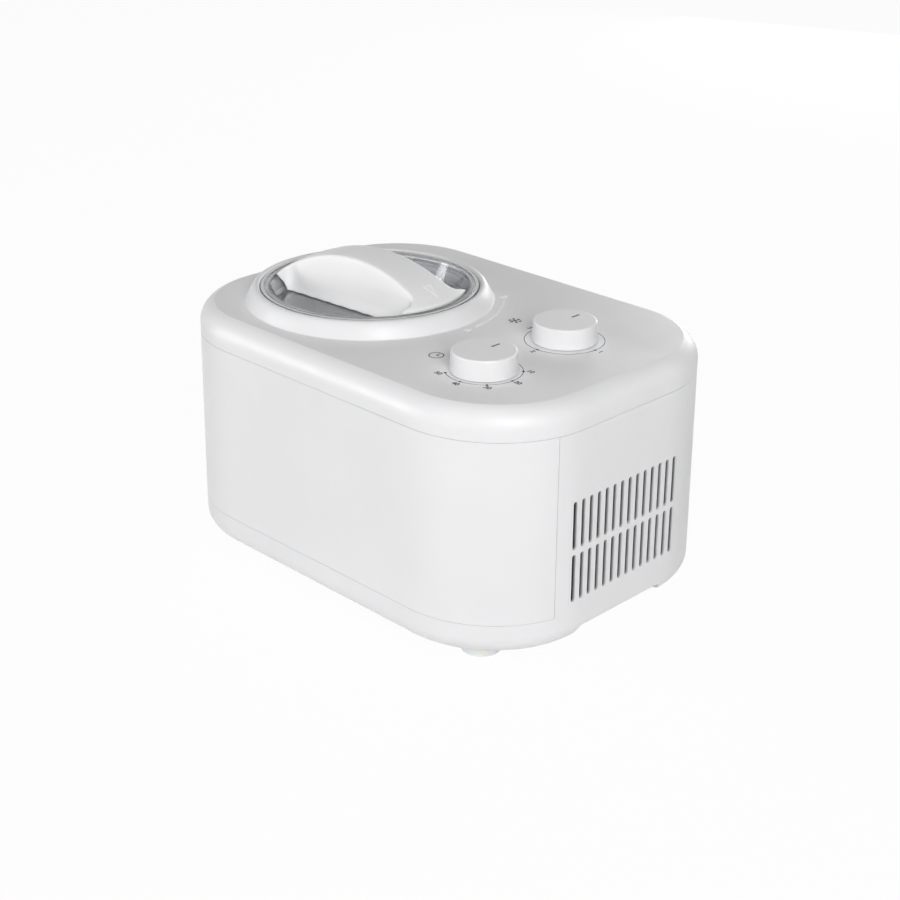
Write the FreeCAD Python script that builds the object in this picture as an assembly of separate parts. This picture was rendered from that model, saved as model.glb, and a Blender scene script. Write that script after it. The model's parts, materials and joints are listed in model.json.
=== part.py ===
import FreeCAD, Part
import math
import os

# Ice cream maker with its own compressor. Millimetres, +Z up, floor at z = 0.
# +X is the end with the air slots, -Y is the long front side.

# Housing shells
BODY_L = 360.0
BODY_D = 258.0
CORNER_R = 82.0
WALL = 2.5
FLARE = 1.6
EDGE_R = 14.0
TOP_EDGE_R = 17.0
CREASE_DEG = 20.0
FOOT_H = 9.0
SEAM_Z = 33.8
PARTING_Z = 169.6
DECK_Z = 192.0
SEAM_GAP = 0.3
LIP_T = 1.6
LIP_H = 4.0
LIP_GAP = 0.3
LIP_ROOT = 5.0
END_SEAM_DEG = 15.3

# Air slots in the right end, and the raised lower edge below them
SLOT_W = 3.7
SLOT_H = 36.2
SLOT_PITCH = 8.2
SLOT_COUNT = 14
SLOT_ROWS_Z = (60.1, 100.2)
ARCH_HALF = 42.5
ARCH_RAMP = 10.0
ARCH_H = 10.5
ARCH_DEPTH = 30.0

# Feet
FOOT_END_INSET = 50.0
FOOT_SIDE_INSET = 39.0
FOOT_R = 16.0
FOOT_TAPER = 1.8
FOOT_RECESS_R = 6.0
FOOT_RECESS_H = 5.0
FOOT_BOSS_R = 5.0
FOOT_BOSS_H = 9.0
FOOT_SCREW_R = 1.8
SCREW_FIT = 0.05

# Posts that tie the top cover to the base
TIE_END_INSET = 80.0
TIE_SIDE_INSET = 22.0
TIE_R = 6.0
TIE_BOSS_R = 8.0
TIE_BOSS_H = 5.0
TIE_CUP_H = 12.0
TIE_SCREW_R = 2.0
TIE_SCREW_L = 20.0
SCREW_HEAD_R = 4.0
SCREW_HEAD_H = 2.6
HEAD_ROOM = 0.3
FIT = 0.2

# Lid, collar and bayonet, all about the bowl axis
BOWL_END_INSET = 115.0
BOWL_Y = -13.5
LID_GAP = 0.8
LID_R = 82.6
LID_RIM_Z = 203.3
LID_RIM_T = 2.4
LID_SKIRT_T = 2.2
LID_SKIRT_H = 6.0
LID_WALL_R = 75.8
LID_FOOT_R = 69.3
LID_WALL_T = 2.2
LID_FLOOR_Z = 189.0
LID_FLOOR_T = 2.5
RIM_GROOVE_R = 79.2
RIM_GROOVE_W = 0.8
RIM_GROOVE_H = 0.7
COLLAR_T = 3.5
COLLAR_FOOT_R = 94.6
COLLAR_LIP = 0.6
COLLAR_CROWN = 2.6
FLARE_FOOT = 0.15
FLARE_CROWN = 0.5
LIP_DROP = 0.4
LIP_MID_OUT = 0.32
LIP_MID_DROP = 0.1
LEDGE_R = 76.4
LEDGE_Z = 184.0
LEDGE_T = 2.5
LUG_COUNT = 4
LUG_DEG = 30.0
LUG_REACH = 82.2
LUG_H = 3.4
LUG_DROP = 1.8
TAB_DEG = 40.0
TAB_REACH = 80.2
TAB_H = 3.0
TAB_GAP = 0.6
LID_TURN_DEG = 45.0

# Lid handle: a slice of a dome between two finger pockets
HANDLE_DEG = 3.5
HANDLE_TOP_Z = 227.5
HANDLE_END_RISE = 1.2
HANDLE_WALL_GAP = 0.8
HANDLE_FOOT_HALF = 26.0
HANDLE_TOP_HALF = 16.6
HANDLE_PAD = 10.2
HANDLE_CORNER_R = 6.0
HANDLE_EDGE_R = 2.0
HANDLE_SKIN = 3.0
LID_SCREW_A = 40.0
LID_SCREW_B = 12.0
LID_SCREW_R = 1.5
LID_SCREW_L = 12.0
LID_SCREW_HEAD_R = 3.0
LID_SCREW_HEAD_H = 1.8
LID_BOSS_R = 4.0

# Cooling well, bowl and seals
WELL_R = 68.0
WELL_T = 1.5
WELL_FLOOR_Z = 88.0
WELL_FLANGE_R = 82.0
WELL_FLANGE_T = 2.0
WELL_GASKET_T = 1.5
WELL_GASKET_W = 4.0
BOWL_GAP = 0.8
BOWL_T = 1.5
BOWL_FLOOR_T = 2.0
BOWL_RIM_R = 75.0
BOWL_RIM_T = 2.0
BOWL_SEAT_GAP = 0.2
BOWL_FLOOR_R = 8.0
TUBE_R = 10.0
TUBE_BORE_R = 8.0
TUBE_TOP_Z = 150.0
SEAL_W = 5.5
SEAL_GAP = 0.2

# Evaporator coil, foam jacket and carrier plate
COIL_TUBE_R = 3.0
COIL_GAP = 0.1
COIL_TURNS = 6
COIL_PITCH = 10.0
COIL_START_Z = 104.0
COIL_TAIL = 54.0
FOAM_R = 88.0
FOAM_GAP = 0.3
FOAM_FLOOR = 12.0
FOAM_NOTCH = 5.0
PLATE_R = 90.0
PLATE_T = 2.0
PLATE_POST_R = 5.0
PLATE_POST_A = 80.0
PLATE_SCREW_R = 1.5
PLATE_SCREW_L = 14.0
PLATE_HEAD_R = 3.0

# Drive shaft and paddle
SHAFT_R = 6.0
SHAFT_FIT = 0.05
SHAFT_SHOULDER_Z = 151.0
HEX_FLATS = 9.0
HEX_H = 16.0
HEX_FIT = 0.25
BEARING_R = 14.0
BEARING_BORE_R = 9.0
BUSH_H = 8.0
SHAFT_SEAL_H = 5.0
PADDLE_HUB_GAP = 0.5
PADDLE_HUB_T = 2.6
PADDLE_CAP_T = 3.0
PADDLE_GAP = 1.5
PADDLE_FLOOR_GAP = 1.2
PADDLE_T = 3.2
PADDLE_TOP_Z = 172.0
PADDLE_BAR = 10.0
PADDLE_STEP_GAP = 0.3

# Gear train: motor pinion, two-step idler, output gear
GEAR_M = 1.0
PINION_TEETH = 12
IDLER_TEETH = 48
OUTPUT_TEETH = 60
GEARCASE_H = 19.5
GEARCASE_T = 2.5
GEARCASE_COVER_T = 2.5
GEARCASE_R = 36.0
MOTOR_PAD_R = 24.0
GEAR_FACE = 6.0
GEAR_STEP = 1.0
GEAR_FLOOR_GAP = 1.0
TOOTH_TIP = 0.9
TOOTH_ROOT = 1.2
ROOT_HALF = 0.27
TIP_HALF = 0.10
IDLER_PIN_R = 2.5
MOTOR_R = 27.0
MOTOR_H = 34.0
MOTOR_T = 1.5
MOTOR_SHAFT_R = 3.0
STATOR_BORE_R = 18.0
STATOR_H = 27.0
ROTOR_GAP = 0.8
ROTOR_LIFT = 4.0
ROTOR_H = 20.0

# Compressor
COMP_X = 66.0
COMP_Y = 38.0
COMP_R = 47.0
COMP_T = 3.0
COMP_JOINT_Z = 90.0
COMP_TOP_Z = 140.0
COMP_ROUND = 16.0
COMP_FLANGE = 2.5
COMP_FLANGE_H = 4.0
COMP_PLATE_T = 2.5
COMP_PLATE_Z = 26.0
COMP_PLATE_EDGE = 11.0
COMP_BOLT_X = 40.0
COMP_BOLT_Y = 37.0
COMP_BOLT_R = 2.5
COMP_BOLT_HEAD_R = 4.5
COMP_BOLT_HEAD_H = 3.0
COMP_BOSS_H = 4.0
MOUNT_R = 8.0
MOUNT_NECK_R = 4.5
MOUNT_NECK_H = 2.0
PUMP_R = 38.0
PUMP_H = 80.0
TERMINAL_W = 26.0
TERMINAL_D = 14.0
TERMINAL_H = 32.0
TERMINAL_Z = 70.0

# Condenser, drier and pipes
COND_END_INSET = 19.0
COND_T = 22.0
COND_HALF_W = 42.0
COND_H = 100.0
FIN_T = 0.5
FIN_COUNT = 21
COND_TUBE_R = 3.0
COND_PASSES = 5
COND_FIRST = 10.0
COND_PITCH = 20.0
BEND_OUT = 4.0
COND_OUT_Y = -75.0
DRIER_R = 9.0
DRIER_CONE = 8.0
DRIER_L = 70.0
DRIER_INSET = 19.0
PIPE_BEND_R = 9.0
PIPE_JOINT = 0.15
CAPILLARY_R = 1.2
SUCTION_R = 3.0
SUCTION_Z = 100.0
SUCTION_X = 22.0
SUCTION_Y = 95.0
DISCHARGE_R = 3.0
DISCHARGE_X = 108.0
DISCHARGE_Y = 81.0

# Fan
FAN_COND_GAP = 5.0
FAN_T = 25.0
FAN_SIZE = 100.0
FAN_BORE_R = 44.0
FAN_TIP_GAP = 1.5
FAN_HUB_R = 18.0
FAN_HUB_T = 2.0
FAN_HUB_PLATE_T = 3.0
FAN_SHAFT_R = 2.0
FAN_STATOR_R = 14.0
FAN_STATOR_H = 13.0
FAN_BLADES = 7
FAN_BLADE_T = 1.6
FAN_BLADE_PITCH = 38.0
FAN_BLADE_CHORD = 19.0
FAN_STRUTS = 4
FAN_STRUT_W = 5.0
FAN_STRUT_DEG = 45.0
FAN_RIB_Y = 35.0
FAN_RIB_W = 10.0

# Knobs and their switches
TIME_END_INSET = 80.5
TIME_FRONT_INSET = 69.0
MENU_END_INSET = 81.5
MENU_Y = 24.1
KNOB_R = 23.6
KNOB_TOP_R = 22.9
KNOB_H = 14.7
KNOB_GAP = 0.6
KNOB_EDGE_R = 1.4
KNOB_SKIN = 2.4
KNOB_STEM_R = 5.5
KNOB_STEM_GAP = 2.5
POINTER_L = 8.0
POINTER_W = 1.5
POINTER_H = 0.8
POINTER_OUT = 11.0
POINTER_FIT = 0.1
SPINDLE_R = 3.0
SPINDLE_FLAT = 2.2
SPINDLE_TOP_GAP = 1.0
SPINDLE_DEPTH = 12.0
SWITCH_BUSH_R = 5.0
SWITCH_BUSH_H = 4.2
NUT_FLATS = 13.0
NUT_H = 2.6
TIMER_R = 22.0
TIMER_H = 26.0
MENU_SWITCH_W = 32.0
MENU_SWITCH_H = 22.0

# Control board
BOARD_X = 28.0
BOARD_SIDE_INSET = 28.0
BOARD_L = 66.0
BOARD_W = 34.0
BOARD_T = 1.6
BOARD_POST_R = 3.0
BOARD_POST_H = 8.0
BOARD_INSET = 4.0
RELAY_SIZE = (19.0, 15.0, 16.0)
RELAY_DX = -12.0
CAPACITOR_R = 7.0
CAPACITOR_H = 24.0
CAPACITOR_DX = 8.0
TERMINALS_SIZE = (12.0, 22.0, 13.0)
TERMINALS_DX = 24.0

# Cord gland in the rear wall
GLAND_X = 40.0
GLAND_Z = 60.0
GLAND_R = 6.9
GLAND_FLANGE_R = 9.3
GLAND_FLANGE_T = 1.2
GLAND_BORE_R = 3.6
GLAND_L = 10.0

# Places, levels and radii that follow from the values above
FOOT_X = BODY_L / 2.0 - FOOT_END_INSET
FOOT_Y = BODY_D / 2.0 - FOOT_SIDE_INSET
TIE_X = BODY_L / 2.0 - TIE_END_INSET
TIE_Y = BODY_D / 2.0 - TIE_SIDE_INSET
BOWL_X = BOWL_END_INSET - BODY_L / 2.0
TIME_X = BODY_L / 2.0 - TIME_END_INSET
TIME_Y = TIME_FRONT_INSET - BODY_D / 2.0
MENU_X = BODY_L / 2.0 - MENU_END_INSET
COND_X = BODY_L / 2.0 - COND_END_INSET
DRIER_X = COND_X - DRIER_INSET
FAN_X = COND_X - COND_T / 2.0 - FAN_COND_GAP - FAN_T
BOARD_Y = BOARD_SIDE_INSET - BODY_D / 2.0
HANDLE_R = LID_WALL_R - HANDLE_WALL_GAP
HANDLE_END_Z = LID_RIM_Z + HANDLE_END_RISE
HANDLE_PAD_A = HANDLE_R - HANDLE_PAD
FLOOR_Z = FOOT_H + WALL
DECK_IN_Z = DECK_Z - WALL
OPEN_R = LID_R + LID_GAP
SKIRT_R = OPEN_R + COLLAR_T
LEDGE_LOW_Z = LEDGE_Z - LEDGE_T
WELL_TOP_Z = LEDGE_LOW_Z - WELL_GASKET_T
FOAM_TOP_Z = WELL_TOP_Z - WELL_FLANGE_T
PLATE_TOP_Z = WELL_FLOOR_Z - FOAM_FLOOR
PLATE_LOW_Z = PLATE_TOP_Z - PLATE_T
CASE_TOP_Z = PLATE_LOW_Z - GEARCASE_COVER_T
CASE_LOW_Z = CASE_TOP_Z - GEARCASE_H
MOTOR_LOW_Z = CASE_LOW_Z - MOTOR_H
BOWL_R = WELL_R - BOWL_GAP
BOWL_LOW_Z = WELL_FLOOR_Z + WELL_T + BOWL_GAP
BOWL_RIM_LOW_Z = WELL_TOP_Z + BOWL_SEAT_GAP
BOWL_TOP_Z = BOWL_RIM_LOW_Z + BOWL_RIM_T
BOWL_FLOOR_Z = BOWL_LOW_Z + BOWL_FLOOR_T
COIL_R = WELL_R + WELL_T + COIL_GAP + COIL_TUBE_R
FOAM_BORE_R = COIL_R + COIL_TUBE_R + FOAM_GAP
COIL_END_Z = COIL_START_Z + COIL_TURNS * COIL_PITCH
GEAR_LOW_Z = CASE_LOW_Z + GEARCASE_T + GEAR_FLOOR_GAP
OUTPUT_LOW_Z = GEAR_LOW_Z + GEAR_FACE + GEAR_STEP
OUTPUT_DIST = GEAR_M * (OUTPUT_TEETH + PINION_TEETH) / 2.0
PINION_DIST = GEAR_M * (IDLER_TEETH + PINION_TEETH) / 2.0
IDLER_X = BOWL_X - OUTPUT_DIST
MOTOR_Y = BOWL_Y + PINION_DIST
COND_LOW_Z = FOOT_H + ARCH_H + WALL
COND_TOP_PASS_Z = COND_LOW_Z + COND_FIRST + (COND_PASSES - 1) * COND_PITCH
COND_LOW_PASS_Z = COND_LOW_Z + COND_FIRST
COND_END_Y = COND_HALF_W + BEND_OUT
FAN_Z = COND_LOW_Z + FAN_SIZE / 2.0
KNOB_LOW_Z = DECK_Z + KNOB_GAP
KNOB_TOP_Z = KNOB_LOW_Z + KNOB_H
BUSH_TOP_Z = DECK_Z + SWITCH_BUSH_H
STEM_LOW_Z = BUSH_TOP_Z + KNOB_STEM_GAP
BOARD_LOW_Z = FLOOR_Z + BOARD_POST_H
BOARD_TOP_Z = BOARD_LOW_Z + BOARD_T

V = FreeCAD.Vector
UP = V(0, 0, 1)
OVER = 1.0
NEAR = 1e-6


# Basic solids
def cyl(x, y, z0, z1, r):
    return Part.makeCylinder(r, z1 - z0, V(x, y, z0))


def ring(x, y, z0, z1, r_out, r_in):
    return cyl(x, y, z0, z1, r_out).cut(cyl(x, y, z0 - OVER, z1 + OVER, r_in))


def cone(x, y, z0, z1, r0, r1):
    return Part.makeCone(r0, r1, z1 - z0, V(x, y, z0))


def box(x0, x1, y0, y1, z0, z1):
    return Part.makeBox(x1 - x0, y1 - y0, z1 - z0, V(x0, y0, z0))


def cyl_x(x0, x1, y, z, r):
    return Part.makeCylinder(r, x1 - x0, V(x0, y, z), V(1, 0, 0))


def cyl_y(x, y0, y1, z, r):
    return Part.makeCylinder(r, y1 - y0, V(x, y0, z), V(0, 1, 0))


def prism(points, z0, z1):
    corners = [V(x, y, z0) for x, y in points]
    return Part.Face(Part.makePolygon(corners + corners[:1])).extrude(V(0, 0, z1 - z0))


def hexagon(x, y, z0, z1, flats):
    r = flats / math.sqrt(3.0)
    turns = [math.radians(60 * k) for k in range(6)]
    return prism([(x + r * math.cos(a), y + r * math.sin(a)) for a in turns], z0, z1)


def sector(x, y, z0, z1, r_out, r_in, mid_deg, span_deg):
    solid = Part.makeCylinder(r_out, z1 - z0, V(x, y, z0), UP, span_deg)
    solid = solid.cut(cyl(x, y, z0 - OVER, z1 + OVER, r_in))
    solid.rotate(V(x, y, 0), UP, mid_deg - span_deg / 2.0)
    return solid


def fuse(solids):
    result = solids[0]
    if len(solids) > 1:
        result = result.multiFuse(solids[1:])
    return result.removeSplitter()


def cut_all(solid, tools):
    return solid.cut(Part.makeCompound(tools))


def corners_of(half_x, half_y):
    return [(sx * half_x, sy * half_y) for sx in (1, -1) for sy in (1, -1)]


def bottom_round(solid, r):
    low = solid.BoundBox.ZMin
    return solid.makeFillet(r, [e for e in solid.Edges if abs(e.BoundBox.ZMax - low) < NEAR])


def top_round(solid, r):
    high = solid.BoundBox.ZMax
    return solid.makeFillet(r, [e for e in solid.Edges if abs(e.BoundBox.ZMin - high) < NEAR])


def stadium(p, q, r, z0, z1):
    along = V(q[0] - p[0], q[1] - p[1], 0)
    length = along.Length
    bar = Part.makeBox(length, 2 * r, z1 - z0, V(0, -r, z0))
    bar.rotate(V(0, 0, 0), UP, math.degrees(math.atan2(along.y, along.x)))
    bar.translate(V(p[0], p[1], 0))
    return fuse([cyl(p[0], p[1], z0, z1, r), cyl(q[0], q[1], z0, z1, r), bar])


def pipe(points, r, bend):
    # Straight runs joined by tangent arcs of one bend radius.
    pts = [V(*p) for p in points]
    edges = []
    start = pts[0]
    for before, at, after in zip(pts, pts[1:], pts[2:]):
        u = (before - at).normalize()
        w = (after - at).normalize()
        half = u.getAngle(w) / 2.0
        reach = bend / math.tan(half)
        middle = (u + w).normalize()
        centre = at + middle * (bend / math.sin(half))
        first = at + u * reach
        last = at + w * reach
        edges.append(Part.LineSegment(start, first).toShape())
        edges.append(Part.Arc(first, centre - middle * bend, last).toShape())
        start = last
    edges.append(Part.LineSegment(start, pts[-1]).toShape())
    section = Part.Wire(Part.makeCircle(r, pts[0], pts[1] - pts[0]))
    return Part.Wire(edges).makePipeShell([section], True, False)


# Housing outline: a rounded rectangle that spreads towards the base
def outline(spread, z):
    half_l = BODY_L / 2.0 + spread
    half_d = BODY_D / 2.0 + spread
    r = CORNER_R + spread
    tip = r * math.sqrt(0.5)
    edges = []
    quarter = ((1, -1), (1, 1), (-1, 1), (-1, -1))
    ends = []
    for sx, sy in quarter:
        cx = sx * (half_l - r)
        cy = sy * (half_d - r)
        side = V(cx + sx * r, cy, z)
        face = V(cx, cy + sy * r, z)
        mid = V(cx + sx * tip, cy + sy * tip, z)
        first, last = (face, side) if sx * sy < 0 else (side, face)
        ends.append((first, mid, last))
    for k, (first, mid, last) in enumerate(ends):
        edges.append(Part.Arc(first, mid, last).toShape())
        edges.append(Part.LineSegment(last, ends[(k + 1) % 4][0]).toShape())
    return Part.Wire(edges)


def slab(spread, z0, z1):
    return Part.Face(outline(spread, z0)).extrude(V(0, 0, z1 - z0))


def base_slab(spread, z0, z1, r):
    return bottom_round(slab(spread, z0, z1), r)


def cover_slab(spread, z0, z1, r):
    # The round edge is cut off by the flat top, which leaves a slight crease all round.
    rise = r * (1.0 - math.cos(math.radians(CREASE_DEG)))
    return top_round(slab(spread, z0, z1 + rise), r).common(slab(spread + OVER, z0, z1))


def spread_at(z):
    return FLARE * (PARTING_Z - z) / (PARTING_Z - SEAM_Z)


def wall_band(z0, z1):
    outer = Part.makeLoft([outline(spread_at(z0), z0), outline(spread_at(z1), z1)], True, True)
    low, high = z0 - OVER, z1 + OVER
    hollow = [outline(spread_at(z) - WALL, z) for z in (low, high)]
    return outer.cut(Part.makeLoft(hollow, True, True))


def end_zone(back):
    # The plan region of the right end, between the two upright seams.
    cx = BODY_L / 2.0 - CORNER_R
    cy = BODY_D / 2.0 - CORNER_R - back
    reach = BODY_L
    slope = math.tan(math.radians(END_SEAM_DEG))
    far = cy + reach * slope
    return prism([(cx, -cy), (cx + reach, -far), (cx + reach, far), (cx, cy)], 0.0, DECK_Z)


def arch_block(extra):
    # The space under the right end, raised above the underside.
    x0 = BODY_L / 2.0 + FLARE - ARCH_DEPTH - extra
    x1 = BODY_L
    top = ARCH_HALF + extra
    low = top + ARCH_RAMP
    z0 = FOOT_H - OVER
    z1 = FOOT_H + ARCH_H + extra
    points = [V(x0, -low, z0), V(x0, -top, z1), V(x0, top, z1), V(x0, low, z0)]
    return Part.Face(Part.makePolygon(points + points[:1])).extrude(V(x1 - x0, 0, 0))


def air_slots():
    tools = []
    x0 = BODY_L / 2.0 - WALL - EDGE_R
    x1 = BODY_L / 2.0 + EDGE_R
    first = -(SLOT_COUNT - 1) * SLOT_PITCH / 2.0
    reach = SLOT_H / 2.0 - SLOT_W / 2.0
    for z in SLOT_ROWS_Z:
        for k in range(SLOT_COUNT):
            y = first + k * SLOT_PITCH
            tools.append(box(x0, x1, y - SLOT_W / 2.0, y + SLOT_W / 2.0, z - reach, z + reach))
            tools.append(cyl_x(x0, x1, y, z - reach, SLOT_W / 2.0))
            tools.append(cyl_x(x0, x1, y, z + reach, SLOT_W / 2.0))
    return fuse(tools)


def plate_posts():
    reach = PLATE_POST_A * math.sqrt(0.5)
    return [(BOWL_X + sx, BOWL_Y + sy) for sx, sy in corners_of(reach, reach)]


def comp_bolts():
    return [(COMP_X + sx, COMP_Y + sy) for sx, sy in corners_of(COMP_BOLT_X, COMP_BOLT_Y)]


def board_posts():
    half_l = BOARD_L / 2.0 - BOARD_INSET
    half_w = BOARD_W / 2.0 - BOARD_INSET
    return [(BOARD_X + sx, BOARD_Y + sy) for sx, sy in corners_of(half_l, half_w)]


def base_shell():
    outer = base_slab(FLARE, FOOT_H, SEAM_Z, EDGE_R).cut(arch_block(0.0))
    hollow = base_slab(FLARE - WALL, FLOOR_Z, SEAM_Z + OVER, EDGE_R - WALL)
    tray = outer.cut(hollow.cut(arch_block(WALL)))
    end = wall_band(SEAM_Z, PARTING_Z - SEAM_GAP).common(end_zone(SEAM_GAP)).cut(air_slots())
    lip_root = slab(FLARE - WALL + LIP_GAP, SEAM_Z - LIP_ROOT, SEAM_Z)
    lip = slab(FLARE - WALL - LIP_GAP, SEAM_Z - LIP_ROOT, SEAM_Z + LIP_H)
    lip_hole = slab(FLARE - WALL - LIP_GAP - LIP_T, FOOT_H, DECK_Z)
    lip_ring = fuse([lip_root, lip]).cut(lip_hole)
    solids = [tray, end, lip_ring]
    holes = []
    for x, y in corners_of(FOOT_X, FOOT_Y):
        solids.append(cyl(x, y, FOOT_H, FLOOR_Z + FOOT_BOSS_H, FOOT_BOSS_R))
        holes.append(cyl(x, y, 0.0, FLOOR_Z + FOOT_BOSS_H - OVER, FOOT_SCREW_R + SCREW_FIT))
    for x, y in corners_of(TIE_X, TIE_Y):
        solids.append(cyl(x, y, FOOT_H, FLOOR_Z + TIE_BOSS_H, TIE_BOSS_R))
        holes.append(cyl(x, y, 0.0, FOOT_H + SCREW_HEAD_H, SCREW_HEAD_R + HEAD_ROOM))
        holes.append(cyl(x, y, 0.0, SEAM_Z, TIE_SCREW_R + SCREW_FIT))
    for x, y in plate_posts():
        solids.append(cyl(x, y, FOOT_H, PLATE_LOW_Z, PLATE_POST_R))
        holes.append(cyl(x, y, PLATE_LOW_Z - PLATE_SCREW_L, PLATE_LOW_Z + OVER, PLATE_SCREW_R + SCREW_FIT))
    for x, y in comp_bolts():
        solids.append(cyl(x, y, FOOT_H, FLOOR_Z + COMP_BOSS_H, MOUNT_R))
        holes.append(cyl(x, y, FLOOR_Z, SEAM_Z, COMP_BOLT_R + SCREW_FIT))
    for x, y in board_posts():
        solids.append(cyl(x, y, FOOT_H, BOARD_LOW_Z, BOARD_POST_R))
    for side in (1, -1):
        y0 = side * FAN_RIB_Y - FAN_RIB_W / 2.0
        solids.append(box(FAN_X, FAN_X + FAN_T, y0, y0 + FAN_RIB_W, FOOT_H, COND_LOW_Z))
    return cut_all(fuse(solids), holes)


def gland_face():
    return BODY_D / 2.0 + spread_at(GLAND_Z)


def wrap_panel():
    panel = wall_band(SEAM_Z + SEAM_GAP, PARTING_Z - SEAM_GAP).cut(end_zone(0.0))
    face = gland_face()
    hole = cyl_y(GLAND_X, face - 2 * EDGE_R, face + OVER, GLAND_Z, GLAND_R + FIT)
    seat = cyl_y(GLAND_X, face - GLAND_FLANGE_T, face + OVER, GLAND_Z, GLAND_FLANGE_R + FIT)
    return cut_all(panel, [hole, seat])


def cord_gland():
    face = gland_face()
    flange = cyl_y(GLAND_X, face - GLAND_FLANGE_T, face - SEAM_GAP, GLAND_Z, GLAND_FLANGE_R)
    barrel = cyl_y(GLAND_X, face - GLAND_L, face - SEAM_GAP, GLAND_Z, GLAND_R)
    bore = cyl_y(GLAND_X, face - GLAND_L - OVER, face + OVER, GLAND_Z, GLAND_BORE_R)
    return fuse([flange, barrel]).cut(bore)


def collar():
    # Revolved section: a flared foot on the deck, a rounded crown and a straight bore with a ledge.
    top = LID_RIM_Z + COLLAR_LIP
    crown_r = OPEN_R + COLLAR_CROWN
    foot = V(COLLAR_FOOT_R, 0, DECK_Z)
    low_foot = V(COLLAR_FOOT_R, 0, DECK_IN_Z)
    crown = V(crown_r, 0, top)
    run = COLLAR_FOOT_R - crown_r
    flare = Part.BezierCurve()
    flare.setPoles([foot, foot - V(run * FLARE_FOOT, 0, 0), crown + V(run * FLARE_CROWN, 0, 0), crown])
    lip = V(OPEN_R, 0, top - COLLAR_CROWN * LIP_DROP)
    crown_mid = V(OPEN_R + COLLAR_CROWN * LIP_MID_OUT, 0, top - COLLAR_CROWN * LIP_MID_DROP)
    points = [lip, V(OPEN_R, 0, LEDGE_Z), V(LEDGE_R, 0, LEDGE_Z), V(LEDGE_R, 0, LEDGE_LOW_Z)]
    points += [V(SKIRT_R, 0, LEDGE_LOW_Z), V(SKIRT_R, 0, DECK_IN_Z), low_foot, foot]
    edges = [flare.toShape(), Part.Arc(crown, crown_mid, lip).toShape()]
    edges += [Part.LineSegment(a, b).toShape() for a, b in zip(points, points[1:])]
    section = Part.Face(Part.Wire(Part.__sortEdges__(edges)))
    solid = section.revolve(V(0, 0, 0), UP, 360)
    solid.translate(V(BOWL_X, BOWL_Y, 0))
    return solid


def lug_low_z():
    return LID_FLOOR_Z - LUG_DROP


def bayonet_tabs():
    z0 = lug_low_z() + LUG_H + TAB_GAP
    step = 360.0 / LUG_COUNT
    first = HANDLE_DEG + step / 2.0 + LID_TURN_DEG
    return [sector(BOWL_X, BOWL_Y, z0, z0 + TAB_H, OPEN_R + OVER, TAB_REACH, first + k * step, TAB_DEG)
            for k in range(LUG_COUNT)]


def top_cover():
    outer = cover_slab(0.0, PARTING_Z, DECK_Z, TOP_EDGE_R)
    inner = cover_slab(-WALL, PARTING_Z - OVER, DECK_IN_Z, TOP_EDGE_R - WALL)
    shell = outer.cut(inner)
    lip_root = slab(-WALL + LIP_GAP, PARTING_Z, PARTING_Z + LIP_ROOT)
    lip = slab(-WALL - LIP_GAP, PARTING_Z - LIP_H, PARTING_Z + LIP_ROOT)
    lip_hole = slab(-WALL - LIP_GAP - LIP_T, FOOT_H, DECK_Z)
    lip_ring = fuse([lip_root, lip]).cut(lip_hole)
    shell = shell.cut(cyl(BOWL_X, BOWL_Y, PARTING_Z, DECK_Z + OVER, SKIRT_R))
    solids = [shell, lip_ring, collar()] + bayonet_tabs()
    holes = []
    for x, y in corners_of(TIE_X, TIE_Y):
        solids.append(ring(x, y, DECK_IN_Z - TIE_CUP_H, DECK_IN_Z, TIE_BOSS_R, TIE_R + FIT))
    for x, y in ((TIME_X, TIME_Y), (MENU_X, MENU_Y)):
        holes.append(cyl(x, y, PARTING_Z, DECK_Z + OVER, SWITCH_BUSH_R + FIT))
    return cut_all(fuse(solids), holes)


# Feet, posts and screws
def feet():
    solids = []
    for x, y in corners_of(FOOT_X, FOOT_Y):
        foot = cone(x, y, 0.0, FOOT_H, FOOT_R - FOOT_TAPER, FOOT_R)
        recess = cyl(x, y, -OVER, FOOT_RECESS_H, FOOT_RECESS_R)
        hole = cyl(x, y, 0.0, FOOT_H + OVER, FOOT_SCREW_R + SCREW_FIT)
        solids.append(cut_all(foot, [recess, hole]))
    return Part.makeCompound(solids)


def screw_up(x, y, seat_z, length, r, head_r, head_h):
    # Head below its seat, shank pointing up.
    return fuse([cyl(x, y, seat_z - head_h, seat_z, head_r), cyl(x, y, seat_z - head_h, seat_z + length, r)])


def screw_down(x, y, seat_z, length, r, head_r, head_h):
    return fuse([cyl(x, y, seat_z, seat_z + head_h, head_r), cyl(x, y, seat_z - length, seat_z + head_h, r)])


def foot_screws():
    length = FOOT_H - FOOT_RECESS_H + FOOT_BOSS_H
    return Part.makeCompound([screw_up(x, y, FOOT_RECESS_H, length, FOOT_SCREW_R, SCREW_HEAD_R, SCREW_HEAD_H)
                              for x, y in corners_of(FOOT_X, FOOT_Y)])


def tie_posts():
    solids = []
    low = FLOOR_Z + TIE_BOSS_H
    for x, y in corners_of(TIE_X, TIE_Y):
        hole = cyl(x, y, low - OVER, FOOT_H + SCREW_HEAD_H + TIE_SCREW_L + OVER, TIE_SCREW_R + SCREW_FIT)
        solids.append(cyl(x, y, low, DECK_IN_Z, TIE_R).cut(hole))
    return Part.makeCompound(solids)


def tie_screws():
    seat = FOOT_H + SCREW_HEAD_H
    return Part.makeCompound([screw_up(x, y, seat, TIE_SCREW_L, TIE_SCREW_R, SCREW_HEAD_R, SCREW_HEAD_H)
                              for x, y in corners_of(TIE_X, TIE_Y)])


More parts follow.
